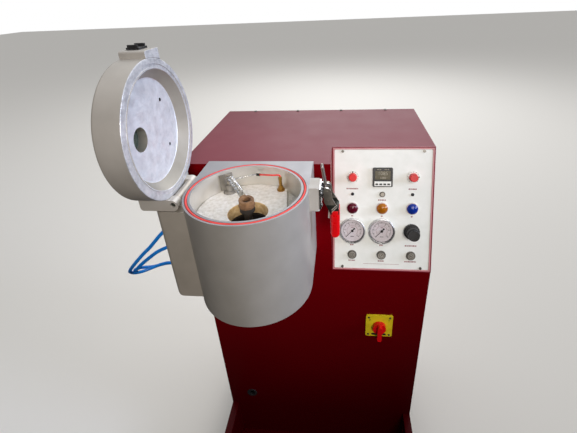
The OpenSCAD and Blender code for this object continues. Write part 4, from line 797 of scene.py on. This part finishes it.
def buildMoulding():
    wide, long = console["width"], console["length"]
    select()
    bpy.ops.mesh.primitive_plane_add(size=1, location=(0, -long / 2, 0))
    bpy.context.object.scale = (wide, long, 1)
    piece = take("consoleMoulding", "mouldingEnamel")
    editAll()
    bpy.ops.mesh.extrude_region_move(TRANSFORM_OT_translate={"value": (0, 0, moulding["wall"])})
    across, height = 0.0, moulding["wall"]
    for nextAcross, nextHeight in moulding["profile"]:
        bpy.ops.mesh.inset(thickness=nextAcross - across, depth=nextHeight - height)
        across, height = nextAcross, nextHeight
    bpy.ops.mesh.delete(type="FACE")
    bpy.ops.mesh.select_all(action="DESELECT")
    bpy.ops.mesh.select_mode(type="EDGE")
    bpy.ops.mesh.select_non_manifold()
    bpy.ops.mesh.bridge_edge_loops()
    faceOut()

    # Painted highlight: the bead beside the plate gets the pale pink enamel
    def onBead(centre, normal):
        return min(wide / 2 - abs(centre.x), -centre.y, long + centre.y) > moulding["bead"]

    paintFaces(piece, "beadHighlightEnamel", onBead)
    piece.data.transform(console["slope"])
    smoothen(piece, 40)
    standFor(piece, "console_frame")


# Rows of short printed dashes where the plate's captions were
captions = {
    "height": 0.0032,
    "thick": 0.00012,
    "unit": 0.0009,
    "gap": 0.0008,
    "dashes": [3, 1, 2, 1, 3, 2, 1, 2],  # widths in turn, in units
    "places": [  # column, down the slope, width
        (-1, 0.1046, 0.030), (1, 0.1046, 0.020), (0, 0.1330, 0.020), (-1, 0.1745, 0.005),
        (0, 0.1745, 0.005), (1, 0.1745, 0.005), (-1, 0.2505, 0.010), (0, 0.2505, 0.010),
        (1, 0.2505, 0.030), (-1, 0.2925, 0.018), (0, 0.2925, 0.016), (1, 0.2925, 0.030),
    ],
    "footRule": (0.3005, 0.090, 0.0006),
}


def printCaptions():
    thick, unit, gap, dashes = (captions[k] for k in ("thick", "unit", "gap", "dashes"))
    level = console["plate"] + thick / 2
    bars = []
    for column, down, width in captions["places"]:
        left, turn = -width / 2, 0
        while left < width / 2 - gap:
            wide = min(dashes[turn % len(dashes)] * unit, width / 2 - left)
            centre = (column * console["columns"] + left + wide / 2, -down, level)
            bars.append(block("dash", centre, (wide, captions["height"], thick)))
            left += wide + gap
            turn += 1
    down, width, high = captions["footRule"]
    bars.append(block("dash", (0, -down, level), (width, high, thick)))
    addPiece("panelCaptions", bars, "printedMaroon", console["slope"], "machine")


# Dials: ticks and plain numbers round three quarters of a turn, from lower left to lower right
dial = {
    "face": 0.003,  # above the plate
    "thick": 0.00012,
    "start": 225,  # degrees, where zero lies
    "sweep": 270,
    "steps": 50,
    "outer": 0.0232,
    "long": (0.0038, 0.0011),  # every fifth tick: length, width
    "short": (0.0022, 0.0005),
    "numbers": [0, 2, 4, 6, 8, 10],
    "numberRadius": 0.0172,
    "numberHigh": 0.0046,
    "arc": (0.0135, 0.0008, 1.2),  # inner arc of dashes: radius, width, length in steps
    "blackRule": (-0.0150, 0.009, 0.0014),  # up, width, height
    "redRule": (0.0090, 0.006, 0.0012),
}


def spoke(name, angle, inner, outer, wide, height, thick):
    size = (outer - inner, wide, thick)
    return turned(block(name, ((inner + outer) / 2, 0, height), size), angle)


def around(degrees, radius, height=0.0):
    angle = math.radians(degrees)
    return Vector((math.cos(angle) * radius, math.sin(angle) * radius, height))


def printDials():
    thick, start, sweep, steps = (dial[k] for k in ("thick", "start", "sweep", "steps"))
    outer = dial["outer"]
    level = dial["face"] + thick / 2
    radius, line, share = dial["arc"]
    black, red = [], []
    for i in range(steps + 1):
        angle = start - sweep * i / steps
        reach, wide = dial["short" if i % 5 else "long"]
        black.append(spoke("tick", angle, outer - reach, outer, wide, level, thick))
        if i < steps and i % 2 == 0:
            long = math.radians(sweep / steps * share) * radius
            inner = radius - line / 2
            red.append(spoke("dash", angle, inner, inner + line, long, level, thick))
    for number in dial["numbers"]:
        place = around(start - sweep * number / 10, dial["numberRadius"], level)
        black.append(figures(str(number), dial["numberHigh"], place, thick))
    for parts, key in ((black, "blackRule"), (red, "redRule")):
        up, wide, high = dial[key]
        parts.append(block("rule", (0, up, level), (wide, high, thick)))
    ink = join("dialScale", black, "printedBlack")
    fine = join("dialArc", red, "printedMaroon")
    for column, side in ((-1, "Left"), (0, "Right")):
        for first, slotName in ((ink, "black_plastic"), (fine, "red_plastic")):
            piece = addObject(first.name + side, first.data.copy())
            piece.data.transform(onPlate(column, "gauges"))
            settle(piece, "machine")
    bpy.data.objects.remove(ink)
    bpy.data.objects.remove(fine)


# Lamp lenses: a low dome with ring ridges cast in it
lens = {
    "radius": 0.0134,
    "foot": 0.0104,
    "shoulder": 0.004,
    "lip": 0.0008,
    "height": 0.007,
    "ridge": 0.00016,
    "rings": 7,
    "steps": 6,  # in each ring
}


def buildLenses():
    r, foot, shoulder, lip = (lens[k] for k in ("radius", "foot", "shoulder", "lip"))
    steps = lens["steps"]
    crown = lens["height"] - lip
    ball = (r * r + crown ** 2) / (2 * crown)
    outline = [(0, 0), (foot, 0), (foot, shoulder), (r, shoulder)]
    count = lens["rings"] * steps
    for i in range(count + 1):
        across = r * (1 - i / count)
        rise = math.sqrt(ball * ball - across * across) - (ball - crown)
        wave = lens["ridge"] * (0.5 - 0.5 * math.cos(2 * math.pi * i / steps))
        outline.append((across, shoulder + lip + rise - wave))
    for column, name in ((-1, "red"), (0, "amber"), (1, "blue")):
        piece = spun(name + "Lens", outline, onPlate(column, "lamps"), 96, name + "Lens")
        smoothen(piece, 60)
        standFor(piece, "lamp_" + name)


# The controller: its display's figures, the white strip under them and the tags on its keys
controller = {
    "face": 0.005,
    "window": (0.0053, 0.0045),  # middle of the display up from the case's, height of its skin
    "rows": [("1085", 0.0042, 0.0125), ("1080", -0.0072, 0.0075)],  # figures, up, height
    "tags": (0.0195, 0.0026, 0.0018),  # up, width, height
    "tagPlaces": [-0.013, -0.010, -0.006, 0.005, 0.009, 0.013],
    "strip": (-0.0158, 0.0405, 0.0118),
    "edge": 0.00008,
    "ink": 0.0001,  # thickness of the figures and tags
}


def buildDisplay():
    stand = onPlate(0, "knobs")
    face, ink = controller["face"], controller["ink"]
    up, skin = controller["window"]
    parts = []
    for words, rise, high in controller["rows"]:
        parts.append(figures(words, high, Vector((0, up + rise, skin + 0.6 * ink)), ink))
    rise, wide, high = controller["tags"]
    for across in controller["tagPlaces"]:
        parts.append(block("tag", (across, rise, face + ink / 2), (wide, high, ink)))
    addPiece("displayFigures", parts, "printedGrey", stand, "machine")
    down, wide, high = controller["strip"]
    strip = block("keyStrip", (0, down, face + ink), (wide, high, 2 * ink), "whitePlate")
    bevel(strip, controller["edge"], 1)
    strip.data.transform(stand)
    settle(strip, "machine")


# Knobs: a red cap on a pale skirt with a ring of dots and one black pointer
knob = {
    "skirt": 0.0029,  # all that is lower is skirt
    "level": 0.00265,
    "dots": (11, 0.0008, 0.0002, 0.0134),  # count, radius, thickness, radius of their ring
    "pointer": (0.0105, 0.0148, 0.0024),  # from, to, width
    "raised": (0.0002, 0.0006),  # the pointer over the dots, its thickness
    "aim": {"left": 90, "right": 0},  # degrees from the right, anticlockwise
}


def dressKnobs():
    count, dot, thick, ring = knob["dots"]
    inner, outer, wide = knob["pointer"]
    lift, deep = knob["raised"]
    for side, column in (("left", -1), ("right", 1)):
        stand = onPlate(column, "knobs")
        inverse = stand.inverted()

        def onSkirt(centre, normal):
            return (inverse @ centre).z < knob["skirt"]

        paintFaces(kept["knob_" + side], "paleSkirt", onSkirt)
        marks = []
        for i in range(count):
            place = around(225 - 270 * i / (count - 1), ring, knob["level"])
            marks.append(cylinder("dot", dot, thick, place, sides=12))
        aim = knob["aim"][side]
        marks.append(spoke("pointer", aim, inner, outer, wide, knob["level"] + lift, deep))
        name = "knobMarks" + side.capitalize()
        addPiece(name, marks, "printedBlack", stand, "knob_" + side)


# Push buttons: a turned ring on each face, and a dark bar turned its own way on each button as a
# painted reflection
button = {
    "face": 0.0064,  # above the plate
    "ring": (0.0046, 0.0056, 0.0001),  # inner radius, outer radius, height
    "bar": (0.0062, 0.0016, 0.0003),
    "turns": {"left": 90, "middle": 45, "right": -30},
}


def dressButtons():
    inner, outer, proud = button["ring"]
    low, high = button["face"] - proud, button["face"] + proud
    outline = [(inner, low), (outer, low), (outer, high), (inner, high)]
    for column, (name, turn) in enumerate(button["turns"].items(), -1):
        ring = spun("ring", outline, Matrix.Identity(4), 48)
        # Painted reflection: the dark bar copies the streak each chrome face reflects
        bar = turned(block("bar", (0, 0, button["face"]), button["bar"]), turn)
        stand, body = onPlate(column, "buttons"), "push_button_" + name
        title = "buttonRingAndReflection" + name.capitalize()
        addPiece(title, [ring, bar], "darkSteel", stand, body)


# The lamps' bezels are painted pale, as a painted halo of reflected light, and the inside of each
# gauge's rim is painted black, as painted shade
rims = {
    "lampRow": 0.02,  # a bezel this near the lamps' row is a lamp's
    "gauge": 0.033,
    "inward": 0.4,  # how squarely a face of the rim looks at the dial's middle
}


def paintRims():
    lamps = onPlate(0, "lamps").inverted()
    # Painted reflection: the lamps' bezels are painted pale
    paintFaces(
        kept["control_bezels"], "paleReflectionBezel",
        lambda centre, normal: abs((lamps @ centre).y) < rims["lampRow"],
    )
    for column in (-1, 0):
        stand = onPlate(column, "gauges").inverted()
        turn = stand.to_3x3()

        # Painted shade: the inner wall of each gauge's rim is painted black
        def inside(centre, normal):
            place = (stand @ centre).xy
            away = place.length
            facing = place.dot((turn @ normal).xy)
            return away < rims["gauge"] and facing < -rims["inward"] * away

        paintFaces(kept["gauge_cases"], "blackPlastic", inside)


# A round weight at the tail of each needle, and a cap over its hub
needle = {
    "tailAngle": 47,  # degrees, at rest
    "broaden": 1.7,  # a real needle is broader than the frame's
    "weight": (0.0023, 0.0008, 0.0038),  # radius, thickness, middle above the plate
    "weightAway": 0.0072,
    "cap": (0.0032, 0.0012, 0.0058),
    "edge": 0.0002,
}


def weighNeedles():
    for column, side in ((-1, "left"), (0, "right")):
        stand = onPlate(column, "gauges")
        along = stand @ Matrix.Rotation(math.radians(needle["tailAngle"]), 4, "Z")
        mesh = kept["needle_" + side].data
        mesh.transform(along.inverted())
        for vertex in mesh.vertices:
            if vertex.co.xy.length > needle["cap"][0]:
                vertex.co.y *= needle["broaden"]
        mesh.transform(along)
        radius, thick, height = needle["weight"]
        place = around(needle["tailAngle"], needle["weightAway"], height)
        weight = cylinder("weight", radius, thick, place, sides=32)
        radius, thick, height = needle["cap"]
        cap = cylinder("cap", radius, thick, (0, 0, height), sides=32)
        piece = join("needleTail" + side.capitalize(), [weight, cap], "printedBlack")
        bevel(piece, needle["edge"])
        piece.data.transform(stand)
        settle(piece, "needle_" + side)


buildMoulding()
printCaptions()
printDials()
buildLenses()
buildDisplay()
dressKnobs()
dressButtons()
paintRims()
weighNeedles()
print("console built")

# The switch's plate: 0 and I beside the knob, and a bare dark patch below
switch = {
    "middle": (0.180, -0.050, 0.617),
    "face": 0.004,
    "marks": [("0", (-0.0265, 0.0235)), ("I", (0.0265, 0.0235))],
    "high": 0.010,
    "ink": 0.00012,
    "patch": (-0.0325, 0.040, 0.0075, 0.0001),  # up, width, height, thickness
}


def markSwitch():
    stand = Matrix.Translation(switch["middle"]) @ Matrix.Rotation(math.radians(90), 4, "X")
    face, ink = switch["face"], switch["ink"]
    parts = []
    for words, (across, up) in switch["marks"]:
        parts.append(figures(words, switch["high"], Vector((across, up, face + ink / 2)), ink))
    up, wide, high, thick = switch["patch"]
    parts.append(block("patch", (0, up, face + thick / 2), (wide, high, thick)))
    addPiece("switchMarks", parts, "printedBlack", stand, "machine")


markSwitch()
print("switch marked")

# The thermocouple's lead: a red sleeve from the gland, a dark clip, and two bare wires, in mm
lead = {
    "gland": (-56.5, -102, 1115),  # middle of the gland's top
    "sleeve": [
        (0, 0, -2), (0, 0, 1), (-1.0, -0.2, 3.0), (-4.0, -0.5, 3.8), (-11.5, 0, 3.2),
        (-27.5, 5, 1), (-41.5, 12, -2), (-48, 14, -3),
    ],
    "clip": [(-47, 14, -3), (-54.5, 15, -3)],
    "wires": [(-53.5, 15, -3), (-63.5, 15, -4), (-77.5, 12, -6), (-91.5, 6, -7), (-99.5, 3, -7)],
    # in metres
    "radius": {"sleeve": 0.0018, "clip": 0.0030, "wires": 0.0006},
    "clipEdge": 0.0006,
    "twist": (0.0011, 0.0004),  # how far the wires lie apart, across and up
}


def meshed(tube):
    select(tube)
    bpy.ops.object.convert(target="MESH")
    return bpy.context.object


def leadTube(name, key, coat, twists=None):
    points = [(Vector(lead["gland"]) + Vector(p)) / 1000 for p in lead[key]]
    if twists:
        points = [p + Vector(t) for p, t in zip(points, twists)]
    return meshed(tubeAlong(name, points, lead["radius"][key], coat))


def buildLead():
    sleeve = leadTube("leadSleeve", "sleeve", "sleeveRubber")
    clip = leadTube("leadClip", "clip", "darkSteel")
    bevel(clip, lead["clipEdge"], 2, 52)
    across, up = lead["twist"]
    wires = []
    for side in (-1, 1):
        count = len(lead["wires"])
        turns = [(0, side * across * (1 if i % 2 else -1), side * up) for i in range(count)]
        wires.append(leadTube("wire", "wires", "brightSteel", turns))
    both = join("leadWires", wires)
    for piece, angle, slotName in (
        (sleeve, 60, "red_rubber"), (clip, 50, "dark_steel"), (both, 60, "bright_steel"),
    ):
        smoothen(piece, angle)
        settle(piece, "machine", "thermocouple_lead")


# Lacing wire wound round the lift's arm and down to the holder, in mm
lacing = {
    "from": (-167.5, -112, 1124),
    "to": (-108.5, -192, 1113),
    "part": (0.12, 0.62),  # where on the way it starts, and how much of the way it takes
    "radius": 0.0009,  # in metres
    "turns": 5,
    "around": 6.5,
    "pinch": 0.25,
    "flat": 0.62,
    "phases": (0, math.pi * 0.8),
    "steps": 60,
}


def buildLacing():
    start, end = Vector(lacing["from"]), Vector(lacing["to"])
    along = (end - start).normalized()
    side = along.cross(Vector((0, 0, 1))).normalized()
    rise = side.cross(along)
    begin, share = lacing["part"]
    strands = []
    for phase in lacing["phases"]:
        points = []
        for i in range(lacing["steps"] + 1):
            t = i / lacing["steps"]
            a = 2 * math.pi * lacing["turns"] * t + phase
            swell = lacing["around"] * (1 - lacing["pinch"] * math.sin(3 * a / 2) ** 2)
            out = math.cos(a) * side + lacing["flat"] * math.sin(a) * rise
            points.append((start.lerp(end, begin + share * t) + swell * out) / 1000)
        strands.append(meshed(tubeAlong("strand", points, lacing["radius"], "brightSteel")))
    piece = join("liftLacing", strands)
    smoothen(piece, 60)
    settle(piece, "stopper")


buildLead()
buildLacing()

# The stopper's holder is fired clay down to its bead, and so is the eye of the arm it hangs from
lift = {
    "melt": Vector((-0.1085, -0.192, 0)),
    "shaft": Vector((-0.1675, -0.112, 0)),
    "eye": 0.0168,  # from the melt's middle to where the eye meets the arm
    "eyeOver": 0.0006,
    "core": 0.009,
    "clayFrom": 1.0955,
    "holderTop": 1.116,
    "armFrom": 1.112,
    "droop": 0.0095,  # the arm sags this much from its shaft to the holder
    "slim": 0.88,
    "shaftSlim": 0.68,
    "shaftReach": 0.0145,
    "shaftFrom": 1.0825,
}


def dressLift():
    melt, shaft, eye, clay = (lift[k] for k in ("melt", "shaft", "eye", "clayFrom"))
    arm, rod, guide = kept["lift_arm"], kept["rod_holder"], kept["lift_guide"]
    span = (shaft - melt).length
    along = (shaft - melt).normalized()
    scoreFaces(arm, melt + along * eye, along)
    paintFaces(arm, "firedClay", lambda centre, normal: along.dot(centre - melt) < eye)
    scoreFaces(rod, (0, 0, clay), (0, 0, 1))
    paintFaces(rod, "graphite", lambda centre, normal: centre.z < clay)
    for vertex in arm.data.vertices:
        near = 1 - max(0.0, min(1.0, along.dot(vertex.co - melt) / span))
        if vertex.co.z > lift["armFrom"] and near > 0:
            vertex.co.z -= lift["droop"] * near
    for vertex in rod.data.vertices:
        rise = max(0.0, vertex.co.z - clay)
        vertex.co.z -= lift["droop"] * rise / (lift["holderTop"] - clay)
    slim(arm, melt, lift["slim"], lambda place: (place - melt).xy.length < eye + lift["eyeOver"])
    slim(rod, melt, lift["slim"], lambda place: (place - melt).xy.length > lift["core"])

    def onShaft(place):
        return (place - shaft).xy.length < lift["shaftReach"] and place.z > lift["shaftFrom"]

    slim(arm, shaft, lift["shaftSlim"], onShaft)
    slim(guide, shaft, lift["shaftSlim"], onShaft)


# The gland's stem is slimmer than its foot
gland = {
    "foot": 0.0034,  # above the board
    "slim": 0.68,
}


def slimGland():
    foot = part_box("insulation_board")[1].z + gland["foot"]
    middle = Vector(lead["gland"]) / 1000
    slim(kept["brass_gland"], middle, gland["slim"], lambda place: place.z > foot)


# The latch's lever is dark at the elbow over the grip, and the grip's sleeve is pushed up to it;
# two light bands across the elbow are painted highlights
latch = {
    "elbow": 0.022,  # above the grip
    "under": 0.001,
    "flare": 0.001,  # the sleeve's mouth is this much wider than the lever
    "sleeve": (0.004, 0.008, 1.02),  # length that moves, how far, how much thicker
    "bands": (0.0115, 0.0165),
    "band": (0.0150, 0.0012, 0.0017),
    "bandTurn": -48,
    "bandPlace": (-0.0015, 0.0004),
    "bandEdge": 0.0003,
}


def dressLatch():
    low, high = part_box("latch_grip")
    leverLow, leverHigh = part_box("latch_lever")
    middle = (low + high) / 2
    lever = kept["latch_lever"]
    elbow, under = high.z + latch["elbow"], high.z + latch["under"]
    scoreFaces(lever, (0, 0, elbow), (0, 0, 1))
    paintFaces(lever, "leverSteel", lambda centre, normal: centre.z > elbow)
    paintFaces(
        lever, "handledAndGlintSteel", lambda centre, normal: centre.x < low.x and centre.z < under
    )
    length, shift, thicker = latch["sleeve"]
    flare = (leverHigh.y - leverLow.y + latch["flare"]) / (high.y - low.y)
    for vertex in kept["latch_grip"].data.vertices:
        x, y, z = vertex.co
        if z > high.z - length:
            across, deep = middle.x + (x - middle.x) * thicker, middle.y + (y - middle.y) * flare
            vertex.co = (across, deep, z + shift)
    # Painted highlight: two light slanted bands across the lever's elbow
    across, deep = latch["bandPlace"]
    bands = []
    for rise in latch["bands"]:
        band = turned(block("band", (0, 0, 0), latch["band"]), latch["bandTurn"], "Y")
        place = (middle.x + across, leverLow.y + deep, high.z + rise)
        band.data.transform(Matrix.Translation(place))
        bands.append(band)
    strap = join("leverBands", bands, "handledAndGlintSteel")
    bevel(strap, latch["bandEdge"])
    settle(strap, "latch_lever")


# The board: the walls of its mouth are scorched, and its second segment is painted greyer
board = {
    "mouth": 0.042,
    "upright": 0.75,
    "cut": (8.4, 0.077),  # turn of the cut between the segments, how far it lies from the melt
}


def dressBoard():
    melt = lift["melt"]
    turn, away = board["cut"]
    across = around(turn, 1)

    def scorched(centre, normal):
        return (centre - melt).xy.length < board["mouth"] and abs(normal.z) < board["upright"]

    paintFaces(kept["insulation_board"], "scorchedBoard", scorched)
    paintFaces(
        kept["insulation_board"], "greyerSegmentBoard",
        lambda centre, normal: across.dot(centre - melt) > away,
    )


# The cabinet's top is painted rosier, for its dust and as painted sheen of the bright room above,
# and the lid's lug is skimmed where it faces +X
dustAndSheen = {
    "above": 1.0,
    "level": 0.7,  # least Z of the normal of a face with the dust and painted sheen
    "skimmed": 0.6,  # least X of a skimmed one's
}


def dustTop():
    # Painted sheen and dust: upward faces of the cabinet's top get the rosier enamel
    paintFaces(
        kept["cabinet_shell"], "dustAndSheenEnamel",
        lambda centre, normal: normal.z > dustAndSheen["level"] and centre.z > dustAndSheen["above"],
    )
    paintFaces(kept["lid_lug"], "lidRim", lambda centre, normal: normal.x > dustAndSheen["skimmed"])


dressLift()
slimGland()
dressLatch()
dressBoard()
dustTop()
print("furnace dressed")

# A plain pale floor and soft studio light: bright above and behind, dim in front
studio = {
    "floorSize": 40,
    "floorMiddle": (0, 1.5, 0),
    "floor": "#ebe9e5",
    "background": "#ffffff",
    "bright": "#ffffff",
    "dim": "#34312e",
    "strength": 0.85,
    "brightWay": (0.12, 0.5, 0.86),  # towards the bright part of the room
    "fade": (0.8, 0.25),  # from bright to dim
}

# place, target, size, spread in degrees, watts, colour
lamps = {
    "backLight": ((0.2, 4.5, 3.6), (0.0, 2.4, 0.0), 3.0, 180, 100, "#ffffff"),
    "frontLight": ((0.6, -2.3, 2.1), (-0.05, -0.1, 1.05), 0.8, 44, 3.4, "#fff6ee"),
    "sideLight": ((2.4, -0.4, 1.8), (-0.2, -0.18, 1.2), 1.0, 50, 6, "#dfe7ff"),
}


def buildStudio():
    select()
    bpy.ops.mesh.primitive_plane_add(size=studio["floorSize"], location=studio["floorMiddle"])
    floor = bpy.context.object
    floor.name = "studioFloor"
    paper = newMaterial("paper", Base_Color=studio["floor"], Roughness=1.0, Specular_IOR_Level=0.0)
    floor.data.materials.append(paper)
    # The room round the real machine was dark below
    floor.visible_glossy = floor.visible_diffuse = False
    world = bpy.data.worlds.new("studio")
    bpy.context.scene.world = world
    world.use_nodes = True
    sky = world.node_tree.nodes["Background"]
    toward = addNode(world, "TexCoord").outputs["Generated"]
    way = {0: toward, 1: studio["brightWay"]}
    facing = addNode(world, "VectorMath", way, operation="DOT_PRODUCT").outputs["Value"]
    dimness = remap(world, facing, *studio["fade"])
    room = blendColours(world, dimness, studio["bright"], studio["dim"])
    fill(world, sky.inputs["Color"], room)
    fill(world, sky.inputs["Strength"], studio["strength"])
    plain = addNode(world, "Background", {"Color": studio["background"], "Strength": 1.0})
    seen = addNode(world, "LightPath").outputs["Is Camera Ray"]
    either = addNode(world, "MixShader", {0: seen, 1: sky.outputs[0], 2: plain.outputs[0]})
    fill(world, world.node_tree.nodes["World Output"].inputs["Surface"], either.outputs[0])


def addLamp(name, place, target, size, spread, power, colour):
    data = bpy.data.lights.new(name, "AREA")
    data.size = size
    data.spread = math.radians(spread)
    data.energy = power
    data.color = hexToLinear(colour)[:3]
    lamp = addObject(name, data)
    lamp.location = place
    lamp.rotation_euler = (Vector(target) - Vector(place)).to_track_quat("-Z", "Y").to_euler()


buildStudio()
for name, row in lamps.items():
    addLamp(name, *row)
bpy.context.scene.view_settings.view_transform = "Standard"
print("studio lit")
